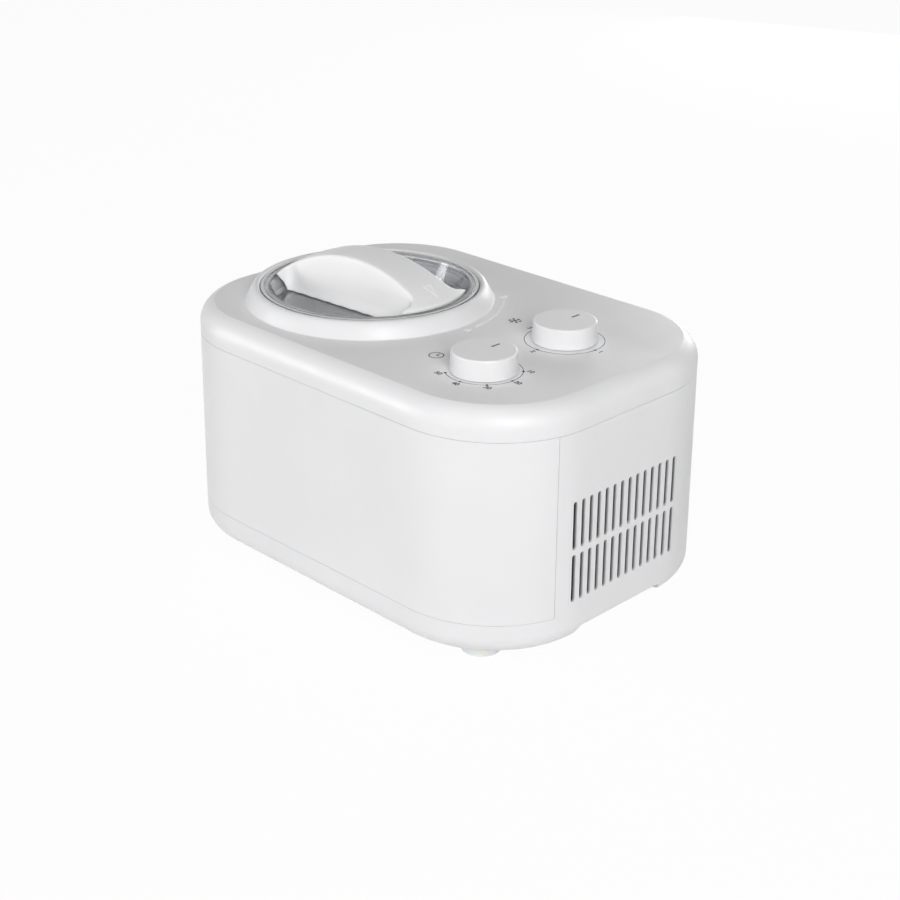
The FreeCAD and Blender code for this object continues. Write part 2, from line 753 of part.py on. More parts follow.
# Lid
def lid_lugs():
    z0 = lug_low_z()
    step = 360.0 / LUG_COUNT
    first = HANDLE_DEG + step / 2.0
    r_in = LID_WALL_R + LID_WALL_T / 2.0
    return [sector(BOWL_X, BOWL_Y, z0, z0 + LUG_H, LUG_REACH, r_in, first + k * step, LUG_DEG)
            for k in range(LUG_COUNT)]


def lid_screw_places():
    turn = math.radians(HANDLE_DEG)
    places = []
    for a, b in corners_of(LID_SCREW_A, LID_SCREW_B):
        x = BOWL_X + a * math.cos(turn) - b * math.sin(turn)
        y = BOWL_Y + a * math.sin(turn) + b * math.cos(turn)
        places.append((x, y))
    return places


def dish_r(z):
    # The dish widens from its floor to its rim.
    return LID_FOOT_R + (LID_WALL_R - LID_FOOT_R) * (z - LID_FLOOR_Z) / (LID_RIM_Z - LID_FLOOR_Z)


def dish_cone(z0, z1, spread):
    return cone(BOWL_X, BOWL_Y, z0, z1, dish_r(z0) + spread, dish_r(z1) + spread)


def lid_window():
    low = LID_FLOOR_Z - LID_FLOOR_T
    solids = [cyl(BOWL_X, BOWL_Y, low, LID_FLOOR_Z, LID_WALL_R + LID_WALL_T)]
    solids.append(dish_cone(low, LID_RIM_Z, LID_WALL_T))
    solids.append(cyl(BOWL_X, BOWL_Y, LID_RIM_Z - LID_RIM_T, LID_RIM_Z, LID_R))
    solids.append(ring(BOWL_X, BOWL_Y, LID_RIM_Z - LID_SKIRT_H, LID_RIM_Z, LID_R, LID_R - LID_SKIRT_T))
    dish = fuse(solids + lid_lugs()).cut(dish_cone(LID_FLOOR_Z, LID_RIM_Z + OVER, 0.0))
    groove_z = LID_RIM_Z - RIM_GROOVE_H
    tools = [ring(BOWL_X, BOWL_Y, groove_z, LID_RIM_Z + OVER, RIM_GROOVE_R + RIM_GROOVE_W, RIM_GROOVE_R)]
    for x, y in lid_screw_places():
        tools.append(cyl(x, y, low - OVER, LID_FLOOR_Z + OVER, LID_SCREW_R + SCREW_FIT))
    return cut_all(dish, tools)


def dome(inset):
    # A block that fills the dish, with a spherical top that falls to the rim.
    sag = HANDLE_TOP_Z - HANDLE_END_Z
    r = (HANDLE_R ** 2 + sag ** 2) / (2.0 * sag)
    ball = Part.makeSphere(r - inset, V(BOWL_X, BOWL_Y, HANDLE_TOP_Z - r))
    return dish_cone(LID_FLOOR_Z, HANDLE_TOP_Z, -HANDLE_WALL_GAP - inset).common(ball)


def finger_pocket(side, inset):
    # Sloping side towards the bar, upright ends, and a round corner between them.
    slope = (HANDLE_FOOT_HALF - HANDLE_TOP_HALF) / (HANDLE_TOP_Z - LID_FLOOR_Z)
    z0 = LID_FLOOR_Z - OVER
    z1 = HANDLE_TOP_Z + OVER
    low = HANDLE_FOOT_HALF + OVER * slope - inset
    high = HANDLE_TOP_HALF - OVER * slope - inset
    end = HANDLE_PAD_A + inset
    far = 2 * HANDLE_R
    points = [V(-end, low, z0), V(-end, high, z1), V(-end, far, z1), V(-end, far, z0)]
    block = Part.Face(Part.makePolygon(points + points[:1])).extrude(V(2 * end, 0, 0))
    near = [e for e in block.Edges if e.BoundBox.XLength < OVER and e.BoundBox.YMax < HANDLE_R]
    block = block.makeFillet(HANDLE_CORNER_R, near)
    if side < 0:
        block.rotate(V(0, 0, 0), UP, 180)
    block.rotate(V(0, 0, 0), UP, HANDLE_DEG)
    block.translate(V(BOWL_X, BOWL_Y, 0))
    return block


def handle_block(inset):
    return cut_all(dome(inset), [finger_pocket(1, inset), finger_pocket(-1, inset)])


def lid_handle():
    block = handle_block(0.0).Solids[0]
    top_edges = []
    for edge in block.Edges:
        kinds = {type(face.Surface).__name__ for face in block.ancestorsOfType(edge, Part.Face)}
        if "Sphere" in kinds and len(kinds) > 1 and edge.BoundBox.ZLength > SEAM_GAP:
            top_edges.append(edge)
    outer = block.makeFillet(HANDLE_EDGE_R, top_edges)
    hollow = handle_block(HANDLE_SKIN)
    bosses = [cyl(x, y, LID_FLOOR_Z, HANDLE_TOP_Z, LID_BOSS_R).common(block) for x, y in lid_screw_places()]
    holes = [cyl(x, y, LID_FLOOR_Z - OVER, LID_FLOOR_Z + LID_SCREW_L, LID_SCREW_R + SCREW_FIT)
             for x, y in lid_screw_places()]
    return cut_all(fuse([outer.cut(hollow)] + bosses), holes)


def lid_screws():
    seat = LID_FLOOR_Z - LID_FLOOR_T
    length = LID_FLOOR_T + LID_SCREW_L - OVER
    return Part.makeCompound([screw_up(x, y, seat, length, LID_SCREW_R, LID_SCREW_HEAD_R, LID_SCREW_HEAD_H)
                              for x, y in lid_screw_places()])


def lid_seal():
    z0 = BOWL_TOP_Z + SEAL_GAP
    z1 = LID_FLOOR_Z - LID_FLOOR_T - SEAL_GAP
    return ring(BOWL_X, BOWL_Y, z0, z1, BOWL_RIM_R, BOWL_RIM_R - SEAL_W)


# Bowl, well and insulation
def bowl():
    outer = bottom_round(cyl(BOWL_X, BOWL_Y, BOWL_LOW_Z, BOWL_TOP_Z, BOWL_R), BOWL_FLOOR_R)
    rim = cyl(BOWL_X, BOWL_Y, BOWL_RIM_LOW_Z, BOWL_TOP_Z, BOWL_RIM_R)
    inner = cyl(BOWL_X, BOWL_Y, BOWL_FLOOR_Z, BOWL_TOP_Z + OVER, BOWL_R - BOWL_T)
    inner = bottom_round(inner, BOWL_FLOOR_R - BOWL_T)
    tube = cyl(BOWL_X, BOWL_Y, BOWL_LOW_Z, TUBE_TOP_Z, TUBE_R)
    bore = cyl(BOWL_X, BOWL_Y, BOWL_LOW_Z - OVER, TUBE_TOP_Z + OVER, TUBE_BORE_R)
    return fuse([fuse([outer, rim]).cut(inner), tube]).cut(bore)


def cooling_well():
    can = cyl(BOWL_X, BOWL_Y, WELL_FLOOR_Z, WELL_TOP_Z, WELL_R + WELL_T)
    flange = cyl(BOWL_X, BOWL_Y, FOAM_TOP_Z, WELL_TOP_Z, WELL_FLANGE_R)
    hollow = cyl(BOWL_X, BOWL_Y, WELL_FLOOR_Z + WELL_T, WELL_TOP_Z + OVER, WELL_R)
    hole = cyl(BOWL_X, BOWL_Y, WELL_FLOOR_Z - OVER, WELL_TOP_Z, SHAFT_R + FIT)
    return cut_all(fuse([can, flange]), [hollow, hole])


def well_gasket():
    return ring(BOWL_X, BOWL_Y, WELL_TOP_Z, LEDGE_LOW_Z, WELL_FLANGE_R, WELL_FLANGE_R - WELL_GASKET_W)


def coil_point(turn):
    angle = 2.0 * math.pi * turn
    x = BOWL_X + COIL_R * math.cos(angle)
    y = BOWL_Y + COIL_R * math.sin(angle)
    return V(x, y, COIL_START_Z + COIL_PITCH * turn)


def coil_tail(side):
    z = COIL_START_Z if side < 0 else COIL_END_Z
    return V(BOWL_X + COIL_R, BOWL_Y + side * COIL_TAIL, z)


def coil_joint(side):
    # Where the next pipe starts, just clear of the brazed end of the coil.
    return coil_tail(side) + V(0, side * PIPE_JOINT, 0)


def evaporator_coil():
    edges = [Part.LineSegment(coil_tail(-1), coil_point(0.0)).toShape()]
    quarters = 4 * COIL_TURNS
    for k in range(quarters):
        arc = Part.Arc(coil_point(k / 4.0), coil_point((k + 0.5) / 4.0), coil_point((k + 1) / 4.0))
        edges.append(arc.toShape())
    edges.append(Part.LineSegment(coil_point(COIL_TURNS), coil_tail(1)).toShape())
    section = Part.Wire(Part.makeCircle(COIL_TUBE_R, coil_tail(-1), V(0, 1, 0)))
    return Part.Wire(edges).makePipeShell([section], True, False)


def foam_jacket():
    block = cyl(BOWL_X, BOWL_Y, PLATE_TOP_Z, FOAM_TOP_Z, FOAM_R)
    hollow = cyl(BOWL_X, BOWL_Y, WELL_FLOOR_Z, FOAM_TOP_Z + OVER, FOAM_BORE_R)
    shaft_hole = cyl(BOWL_X, BOWL_Y, PLATE_TOP_Z - OVER, WELL_FLOOR_Z + OVER, BEARING_R + FIT)
    tools = [hollow, shaft_hole]
    for side in (-1, 1):
        tail = coil_tail(side)
        y0, y1 = sorted((BOWL_Y, BOWL_Y + side * FOAM_R))
        x0 = tail.x - FOAM_NOTCH
        tools.append(box(x0, BOWL_X + FOAM_R + OVER, y0, y1, tail.z - FOAM_NOTCH, tail.z + FOAM_NOTCH))
    return cut_all(block, tools)


def support_plate():
    plate = cyl(BOWL_X, BOWL_Y, PLATE_LOW_Z, PLATE_TOP_Z, PLATE_R)
    tools = [cyl(BOWL_X, BOWL_Y, PLATE_LOW_Z - OVER, PLATE_TOP_Z + OVER, BEARING_R + FIT)]
    for x, y in plate_posts():
        shank_r = PLATE_SCREW_R + SCREW_FIT
        tools.append(cone(x, y, PLATE_LOW_Z, PLATE_TOP_Z, shank_r, PLATE_HEAD_R + SCREW_FIT))
    return cut_all(plate, tools)


def plate_screws():
    # Countersunk, so that the foam can lie flat on the plate.
    solids = []
    for x, y in plate_posts():
        head = cone(x, y, PLATE_LOW_Z, PLATE_TOP_Z, PLATE_SCREW_R, PLATE_HEAD_R)
        shank = cyl(x, y, PLATE_LOW_Z - PLATE_SCREW_L + OVER, PLATE_LOW_Z + OVER, PLATE_SCREW_R)
        solids.append(fuse([head, shank]))
    return Part.makeCompound(solids)


# Drive
def bearing_tube():
    return ring(BOWL_X, BOWL_Y, PLATE_LOW_Z, WELL_FLOOR_Z, BEARING_R, BEARING_BORE_R)


def shaft_bush():
    return ring(BOWL_X, BOWL_Y, PLATE_LOW_Z, PLATE_LOW_Z + BUSH_H, BEARING_BORE_R, SHAFT_R + SHAFT_FIT)


def shaft_seal():
    z0 = WELL_FLOOR_Z - SHAFT_SEAL_H
    return ring(BOWL_X, BOWL_Y, z0, WELL_FLOOR_Z, BEARING_BORE_R, SHAFT_R + SHAFT_FIT)


def drive_shaft():
    rod = cyl(BOWL_X, BOWL_Y, CASE_LOW_Z + SEAM_GAP, SHAFT_SHOULDER_Z, SHAFT_R)
    tip = hexagon(BOWL_X, BOWL_Y, SHAFT_SHOULDER_Z - OVER, SHAFT_SHOULDER_Z + HEX_H, HEX_FLATS)
    return fuse([rod, tip])


def tooth_points(teeth):
    pitch_r = GEAR_M * teeth / 2.0
    pitch = 2.0 * math.pi / teeth
    root_r = pitch_r - TOOTH_ROOT * GEAR_M
    tip_r = pitch_r + TOOTH_TIP * GEAR_M
    tooth = ((root_r, -ROOT_HALF), (tip_r, -TIP_HALF), (tip_r, TIP_HALF), (root_r, ROOT_HALF))
    return [(r, pitch * (k + share)) for k in range(teeth) for r, share in tooth]


def gear(x, y, z0, z1, teeth, bore_r, phase_deg):
    phase = math.radians(phase_deg)
    points = [(x + r * math.cos(a + phase), y + r * math.sin(a + phase)) for r, a in tooth_points(teeth)]
    return prism(points, z0, z1).cut(cyl(x, y, z0 - OVER, z1 + OVER, bore_r))


def output_gear():
    return gear(BOWL_X, BOWL_Y, OUTPUT_LOW_Z, OUTPUT_LOW_Z + GEAR_FACE, OUTPUT_TEETH, SHAFT_R, 0.0)


def idler_gear():
    bore = IDLER_PIN_R + SHAFT_FIT
    half_tooth = 180.0 / PINION_TEETH
    wheel = gear(IDLER_X, BOWL_Y, GEAR_LOW_Z, GEAR_LOW_Z + GEAR_FACE, IDLER_TEETH, bore, 0.0)
    step = GEAR_LOW_Z + GEAR_FACE
    small = gear(IDLER_X, BOWL_Y, step, OUTPUT_LOW_Z + GEAR_FACE, PINION_TEETH, bore, half_tooth)
    return fuse([wheel, small])


def idler_pin():
    return cyl(IDLER_X, BOWL_Y, CASE_LOW_Z, CASE_TOP_Z, IDLER_PIN_R)


def case_outline(inset, z0, z1):
    shaft = (BOWL_X, BOWL_Y)
    idler = (IDLER_X, BOWL_Y)
    motor = (IDLER_X, MOTOR_Y)
    long_part = stadium(shaft, idler, GEARCASE_R - inset, z0, z1)
    return fuse([long_part, stadium(idler, motor, MOTOR_PAD_R - inset, z0, z1)])


def gearbox_housing():
    block = case_outline(0.0, CASE_LOW_Z, CASE_TOP_Z)
    hollow = case_outline(GEARCASE_T, CASE_LOW_Z + GEARCASE_T, CASE_TOP_Z + OVER)
    low, high = CASE_LOW_Z - OVER, CASE_TOP_Z
    tools = [hollow, cyl(BOWL_X, BOWL_Y, low, high, SHAFT_R + SHAFT_FIT)]
    tools.append(cyl(IDLER_X, BOWL_Y, low, high, IDLER_PIN_R))
    tools.append(cyl(IDLER_X, MOTOR_Y, low, high, MOTOR_SHAFT_R + SHAFT_FIT))
    return cut_all(block, tools)


def gearbox_cover():
    plate = case_outline(0.0, CASE_TOP_Z, PLATE_LOW_Z)
    return plate.cut(cyl(BOWL_X, BOWL_Y, CASE_TOP_Z - OVER, PLATE_LOW_Z + OVER, SHAFT_R + FIT))


def motor_can():
    can = cyl(IDLER_X, MOTOR_Y, MOTOR_LOW_Z, CASE_LOW_Z, MOTOR_R)
    hollow = cyl(IDLER_X, MOTOR_Y, MOTOR_LOW_Z + MOTOR_T, CASE_LOW_Z + OVER, MOTOR_R - MOTOR_T)
    hole = cyl(IDLER_X, MOTOR_Y, MOTOR_LOW_Z - OVER, CASE_LOW_Z, MOTOR_SHAFT_R + SHAFT_FIT)
    return cut_all(can, [hollow, hole])


def motor_stator():
    z0 = MOTOR_LOW_Z + MOTOR_T
    return ring(IDLER_X, MOTOR_Y, z0, z0 + STATOR_H, MOTOR_R - MOTOR_T, STATOR_BORE_R)


def motor_rotor():
    z0 = MOTOR_LOW_Z + MOTOR_T + ROTOR_LIFT
    core = cyl(IDLER_X, MOTOR_Y, z0, z0 + ROTOR_H, STATOR_BORE_R - ROTOR_GAP)
    return fuse([core, cyl(IDLER_X, MOTOR_Y, MOTOR_LOW_Z, GEAR_LOW_Z + GEAR_FACE, MOTOR_SHAFT_R)])


def motor_pinion():
    half_tooth = 180.0 / PINION_TEETH
    return gear(IDLER_X, MOTOR_Y, GEAR_LOW_Z, GEAR_LOW_Z + GEAR_FACE, PINION_TEETH, MOTOR_SHAFT_R, half_tooth)


def paddle():
    hub_in = TUBE_R + PADDLE_HUB_GAP
    hub_out = hub_in + PADDLE_HUB_T
    low = BOWL_FLOOR_Z + PADDLE_FLOOR_GAP
    step = SHAFT_SHOULDER_Z + PADDLE_STEP_GAP
    hex_top = SHAFT_SHOULDER_Z + HEX_H + PADDLE_STEP_GAP
    hub = cyl(BOWL_X, BOWL_Y, low, hex_top + PADDLE_CAP_T, hub_out)
    reach = BOWL_R - BOWL_T - PADDLE_GAP
    corner = BOWL_FLOOR_R
    half = [(0.0, low), (reach - corner, low), (reach, low + corner)]
    half += [(reach, PADDLE_TOP_Z), (0.0, PADDLE_TOP_Z)]
    outline_points = half + [(-r, z) for r, z in reversed(half)]
    corners = [V(BOWL_X + r, BOWL_Y - PADDLE_T / 2.0, z) for r, z in outline_points]
    unique = [p for k, p in enumerate(corners) if (p - corners[k - 1]).Length > NEAR]
    blade = Part.Face(Part.makePolygon(unique + unique[:1])).extrude(V(0, PADDLE_T, 0))
    tools = [cyl(BOWL_X, BOWL_Y, low - OVER, step, hub_in)]
    tools.append(hexagon(BOWL_X, BOWL_Y, step - OVER, hex_top, HEX_FLATS + 2 * HEX_FIT))
    for side in (1, -1):
        x0, x1 = sorted((BOWL_X + side * (hub_out + PADDLE_BAR), BOWL_X + side * (reach - PADDLE_BAR)))
        z0, z1 = low + 2 * PADDLE_BAR, PADDLE_TOP_Z - PADDLE_BAR
        tools.append(box(x0, x1, BOWL_Y - PADDLE_T, BOWL_Y + PADDLE_T, z0, z1))
    return cut_all(fuse([hub, blade]), tools)


# Compressor
def can_bottom_z():
    return COMP_PLATE_Z + COMP_PLATE_T


def compressor_can():
    z0 = can_bottom_z()
    outer = bottom_round(cyl(COMP_X, COMP_Y, z0, COMP_JOINT_Z, COMP_R), COMP_ROUND)
    inner = cyl(COMP_X, COMP_Y, z0 + COMP_T, COMP_JOINT_Z + OVER, COMP_R - COMP_T)
    inner = bottom_round(inner, COMP_ROUND - COMP_T)
    flange = cyl(COMP_X, COMP_Y, COMP_JOINT_Z - COMP_FLANGE_H, COMP_JOINT_Z, COMP_R + COMP_FLANGE)
    return fuse([outer, flange]).cut(inner)


def compressor_cap():
    outer = top_round(cyl(COMP_X, COMP_Y, COMP_JOINT_Z, COMP_TOP_Z, COMP_R), COMP_ROUND)
    inner = cyl(COMP_X, COMP_Y, COMP_JOINT_Z - OVER, COMP_TOP_Z - COMP_T, COMP_R - COMP_T)
    return outer.cut(top_round(inner, COMP_ROUND - COMP_T))


def compressor_pump():
    z0 = can_bottom_z() + COMP_T
    round_r = COMP_ROUND - COMP_T
    block = cyl(COMP_X, COMP_Y, z0, z0 + PUMP_H, PUMP_R)
    return top_round(bottom_round(block, round_r), round_r)


def compressor_plate():
    half_x = COMP_BOLT_X + COMP_PLATE_EDGE
    half_y = COMP_BOLT_Y + COMP_PLATE_EDGE
    plate = box(-half_x, half_x, -half_y, half_y, COMP_PLATE_Z, can_bottom_z())
    plate.translate(V(COMP_X, COMP_Y, 0))
    upright = [e for e in plate.Edges if e.BoundBox.ZLength > COMP_PLATE_T / 2.0]
    plate = plate.makeFillet(COMP_PLATE_EDGE, upright)
    holes = [cyl(x, y, COMP_PLATE_Z - OVER, SEAM_Z, MOUNT_NECK_R + SCREW_FIT) for x, y in comp_bolts()]
    return cut_all(plate, holes)


def compressor_mounts():
    solids = []
    low = FLOOR_Z + COMP_BOSS_H
    top = can_bottom_z() + MOUNT_NECK_H
    for x, y in comp_bolts():
        mount = fuse([cyl(x, y, low, COMP_PLATE_Z, MOUNT_R), cyl(x, y, low, top, MOUNT_NECK_R)])
        solids.append(mount.cut(cyl(x, y, low - OVER, top + OVER, COMP_BOLT_R + SCREW_FIT)))
    return Part.makeCompound(solids)


def compressor_bolts():
    top = can_bottom_z() + MOUNT_NECK_H
    length = top - FLOOR_Z - OVER
    return Part.makeCompound([screw_down(x, y, top, length, COMP_BOLT_R, COMP_BOLT_HEAD_R, COMP_BOLT_HEAD_H)
                              for x, y in comp_bolts()])


def terminal_cover():
    y1 = COMP_Y - COMP_R + TERMINAL_D / 2.0
    y0 = COMP_Y - COMP_R - TERMINAL_D
    z1 = TERMINAL_Z + TERMINAL_H / 2.0
    z0 = TERMINAL_Z - TERMINAL_H / 2.0
    cover = box(COMP_X - TERMINAL_W / 2.0, COMP_X + TERMINAL_W / 2.0, y0, y1, z0, z1)
    return cover.cut(cyl(COMP_X, COMP_Y, z0 - OVER, z1 + OVER, COMP_R))


# Condenser, drier and pipes
def pass_z(k):
    return COND_TOP_PASS_Z - k * COND_PITCH


def condenser_fins():
    solids = []
    step = 2.0 * COND_HALF_W / (FIN_COUNT - 1)
    holes = [cyl_y(COND_X, -BODY_D / 2.0, BODY_D / 2.0, pass_z(k), COND_TUBE_R + SCREW_FIT)
             for k in range(COND_PASSES)]
    for k in range(FIN_COUNT):
        y = -COND_HALF_W + k * step
        fin = box(COND_X - COND_T / 2.0, COND_X + COND_T / 2.0, y - FIN_T / 2.0, y + FIN_T / 2.0,
                  COND_LOW_Z, COND_LOW_Z + COND_H)
        solids.append(cut_all(fin, holes))
    return Part.makeCompound(solids)


def condenser_tube():
    bend = COND_PITCH / 2.0
    edges = []
    at = V(COND_X, COND_END_Y + BEND_OUT, pass_z(0))
    side = -1
    for k in range(COND_PASSES - 1):
        end = V(COND_X, side * COND_END_Y, pass_z(k))
        turn = V(COND_X, side * (COND_END_Y + bend), pass_z(k) - bend)
        after = V(COND_X, side * COND_END_Y, pass_z(k + 1))
        edges.append(Part.LineSegment(at, end).toShape())
        edges.append(Part.Arc(end, turn, after).toShape())
        at = after
        side = -side
    corner = V(COND_X, COND_OUT_Y, COND_LOW_PASS_Z)
    r = PIPE_BEND_R
    first = corner + V(0, r, 0)
    last = corner - V(r, 0, 0)
    mid = corner + V(-r, r, 0) + V(r, -r, 0) * math.sqrt(0.5)
    edges.append(Part.LineSegment(at, first).toShape())
    edges.append(Part.Arc(first, mid, last).toShape())
    edges.append(Part.LineSegment(last, V(DRIER_X, COND_OUT_Y, COND_LOW_PASS_Z)).toShape())
    section = Part.Wire(Part.makeCircle(COND_TUBE_R, edges[0].Vertexes[0].Point, V(0, 1, 0)))
    return Part.Wire(edges).makePipeShell([section], True, False)


def filter_drier():
    x1 = DRIER_X
    x0 = DRIER_X - DRIER_L
    z = COND_LOW_PASS_Z
    along = V(1, 0, 0)
    middle = cyl_x(x0 + DRIER_CONE, x1 - DRIER_CONE, COND_OUT_Y, z, DRIER_R)
    back = Part.makeCone(COND_TUBE_R, DRIER_R, DRIER_CONE, V(x0, COND_OUT_Y, z), along)
    front = Part.makeCone(DRIER_R, COND_TUBE_R, DRIER_CONE, V(x1 - DRIER_CONE, COND_OUT_Y, z), along)
    return fuse([back, middle, front])


def capillary():
    tail = coil_joint(-1)
    x0 = DRIER_X - DRIER_L
    z = COND_LOW_PASS_Z
    y = COND_OUT_Y
    points = [(x0, y, z), (tail.x, y, z), (tail.x, y, tail.z), (tail.x, tail.y, tail.z)]
    return pipe(points, CAPILLARY_R, PIPE_BEND_R)


def shell_core():
    return cyl(COMP_X, COMP_Y, FLOOR_Z, COMP_TOP_Z, COMP_R)


def suction_pipe():
    tail = coil_joint(1)
    points = [(tail.x, tail.y, tail.z), (tail.x, SUCTION_Y, tail.z), (SUCTION_X, SUCTION_Y, tail.z),
              (SUCTION_X, SUCTION_Y, SUCTION_Z), (COMP_X, COMP_Y, SUCTION_Z)]
    return pipe(points, SUCTION_R, PIPE_BEND_R).cut(shell_core())


def discharge_pipe():
    z = COND_TOP_PASS_Z
    end_y = COND_END_Y + BEND_OUT
    y = DISCHARGE_Y
    points = [(COMP_X, COMP_Y, z), (DISCHARGE_X, y, z), (COND_X, y, z), (COND_X, end_y, z)]
    return pipe(points, DISCHARGE_R, PIPE_BEND_R).cut(shell_core())


# Fan
def fan_frame():
    x1 = FAN_X + FAN_T
    half = FAN_SIZE / 2.0
    frame = box(FAN_X, x1, -half, half, FAN_Z - half, FAN_Z + half)
    frame = frame.cut(cyl_x(FAN_X - OVER, x1 + OVER, 0.0, FAN_Z, FAN_BORE_R))
    plate_x = FAN_X + FAN_HUB_PLATE_T
    solids = [frame, cyl_x(FAN_X, plate_x, 0.0, FAN_Z, FAN_STATOR_R)]
    for k in range(FAN_STRUTS):
        z0 = FAN_Z - FAN_STRUT_W / 2.0
        strut = box(FAN_X, plate_x, 0.0, FAN_BORE_R + OVER, z0, z0 + FAN_STRUT_W)
        strut.rotate(V(0, 0, FAN_Z), V(1, 0, 0), FAN_STRUT_DEG + k * 360.0 / FAN_STRUTS)
        solids.append(strut)
    bore = cyl_x(FAN_X - OVER, plate_x + OVER, 0.0, FAN_Z, FAN_SHAFT_R + SHAFT_FIT)
    return fuse(solids).cut(bore)


def fan_stator():
    x0 = FAN_X + FAN_HUB_PLATE_T
    solid = cyl_x(x0, x0 + FAN_STATOR_H, 0.0, FAN_Z, FAN_STATOR_R)
    return solid.cut(cyl_x(x0 - OVER, x0 + FAN_STATOR_H + OVER, 0.0, FAN_Z, FAN_SHAFT_R + SHAFT_FIT))


def fan_rotor():
    x0 = FAN_X + FAN_HUB_PLATE_T + FAN_HUB_T
    x1 = FAN_X + FAN_T - FAN_HUB_T
    cup = cyl_x(x0, x1, 0.0, FAN_Z, FAN_HUB_R)
    cup = cup.cut(cyl_x(x0 - OVER, x1 - FAN_HUB_T, 0.0, FAN_Z, FAN_HUB_R - FAN_HUB_T))
    shaft = cyl_x(FAN_X, x1, 0.0, FAN_Z, FAN_SHAFT_R)
    solids = [cup, shaft]
    tip = FAN_BORE_R - FAN_TIP_GAP
    mid_x = (x0 + x1) / 2.0
    half_chord = FAN_BLADE_CHORD / 2.0
    sleeve = cyl_x(x0, x1, 0.0, FAN_Z, tip)
    for k in range(FAN_BLADES):
        blade = box(mid_x - half_chord, mid_x + half_chord, -FAN_BLADE_T / 2.0, FAN_BLADE_T / 2.0,
                    FAN_Z + FAN_HUB_R - FAN_HUB_T / 2.0, FAN_Z + tip + OVER)
        blade.rotate(V(mid_x, 0, FAN_Z), V(0, 0, 1), FAN_BLADE_PITCH)
        blade.rotate(V(mid_x, 0, FAN_Z), V(1, 0, 0), k * 360.0 / FAN_BLADES)
        solids.append(blade.common(sleeve))
    return fuse(solids)


# Knobs and switches
def knob(x, y):
    body = cone(x, y, KNOB_LOW_Z, KNOB_TOP_Z, KNOB_R, KNOB_TOP_R)
    body = top_round(body, KNOB_EDGE_R)
    hollow = cyl(x, y, KNOB_LOW_Z - OVER, KNOB_TOP_Z - KNOB_SKIN, KNOB_TOP_R - KNOB_SKIN)
    stem = cyl(x, y, STEM_LOW_Z, KNOB_TOP_Z - KNOB_SKIN + OVER / 2.0, KNOB_STEM_R)
    slot_l = POINTER_L + 2 * POINTER_FIT
    slot_w = POINTER_W + 2 * POINTER_FIT
    y0 = y + POINTER_OUT - slot_l / 2.0
    x0 = x - slot_w / 2.0
    slot = box(x0, x0 + slot_w, y0, y0 + slot_l, KNOB_TOP_Z - POINTER_H, KNOB_TOP_Z + OVER)
    return cut_all(fuse([body.cut(hollow), stem]), [slot, spindle_rod(x, y, SCREW_FIT)])


def pointer(x, y):
    x0 = x - POINTER_W / 2.0
    y0 = y + POINTER_OUT - POINTER_L / 2.0
    return box(x0, x0 + POINTER_W, y0, y0 + POINTER_L, KNOB_TOP_Z - POINTER_H, KNOB_TOP_Z)


def spindle_rod(x, y, fit):
    top = KNOB_TOP_Z - KNOB_SKIN - SPINDLE_TOP_GAP
    rod = cyl(x, y, DECK_IN_Z - SPINDLE_DEPTH, top, SPINDLE_R + fit)
    flat = box(x - BODY_D, x + BODY_D, y + SPINDLE_FLAT + fit, y + BODY_D, STEM_LOW_Z, KNOB_TOP_Z)
    return rod.cut(flat)


def switch(x, y, body):
    bush = cyl(x, y, DECK_IN_Z - OVER, BUSH_TOP_Z, SWITCH_BUSH_R)
    bore = cyl(x, y, DECK_IN_Z - SPINDLE_DEPTH - OVER, BUSH_TOP_Z + OVER, SPINDLE_R + SHAFT_FIT)
    return fuse([body, bush]).cut(bore)


def timer_switch():
    return switch(TIME_X, TIME_Y, cyl(TIME_X, TIME_Y, DECK_IN_Z - TIMER_H, DECK_IN_Z, TIMER_R))


def menu_switch():
    half = MENU_SWITCH_W / 2.0
    body = box(-half, half, -half, half, DECK_IN_Z - MENU_SWITCH_H, DECK_IN_Z)
    body.translate(V(MENU_X, MENU_Y, 0))
    return switch(MENU_X, MENU_Y, body)


def switch_nuts():
    solids = []
    for x, y in ((TIME_X, TIME_Y), (MENU_X, MENU_Y)):
        nut = hexagon(x, y, DECK_Z, DECK_Z + NUT_H, NUT_FLATS)
        solids.append(nut.cut(cyl(x, y, DECK_Z - OVER, BUSH_TOP_Z, SWITCH_BUSH_R)))
    return Part.makeCompound(solids)


# Control board
def control_board():
    x0 = BOARD_X - BOARD_L / 2.0
    y0 = BOARD_Y - BOARD_W / 2.0
    return box(x0, x0 + BOARD_L, y0, y0 + BOARD_W, BOARD_LOW_Z, BOARD_TOP_Z)


def on_board(dx, size):
    x = BOARD_X + dx
    return box(x - size[0] / 2.0, x + size[0] / 2.0, BOARD_Y - size[1] / 2.0, BOARD_Y + size[1] / 2.0,
               BOARD_TOP_Z, BOARD_TOP_Z + size[2])


def relay():
    return on_board(RELAY_DX, RELAY_SIZE)


def run_capacitor():
    return cyl(BOARD_X + CAPACITOR_DX, BOARD_Y, BOARD_TOP_Z, BOARD_TOP_Z + CAPACITOR_H, CAPACITOR_R)


def terminal_block():
    return on_board(TERMINALS_DX, TERMINALS_SIZE)


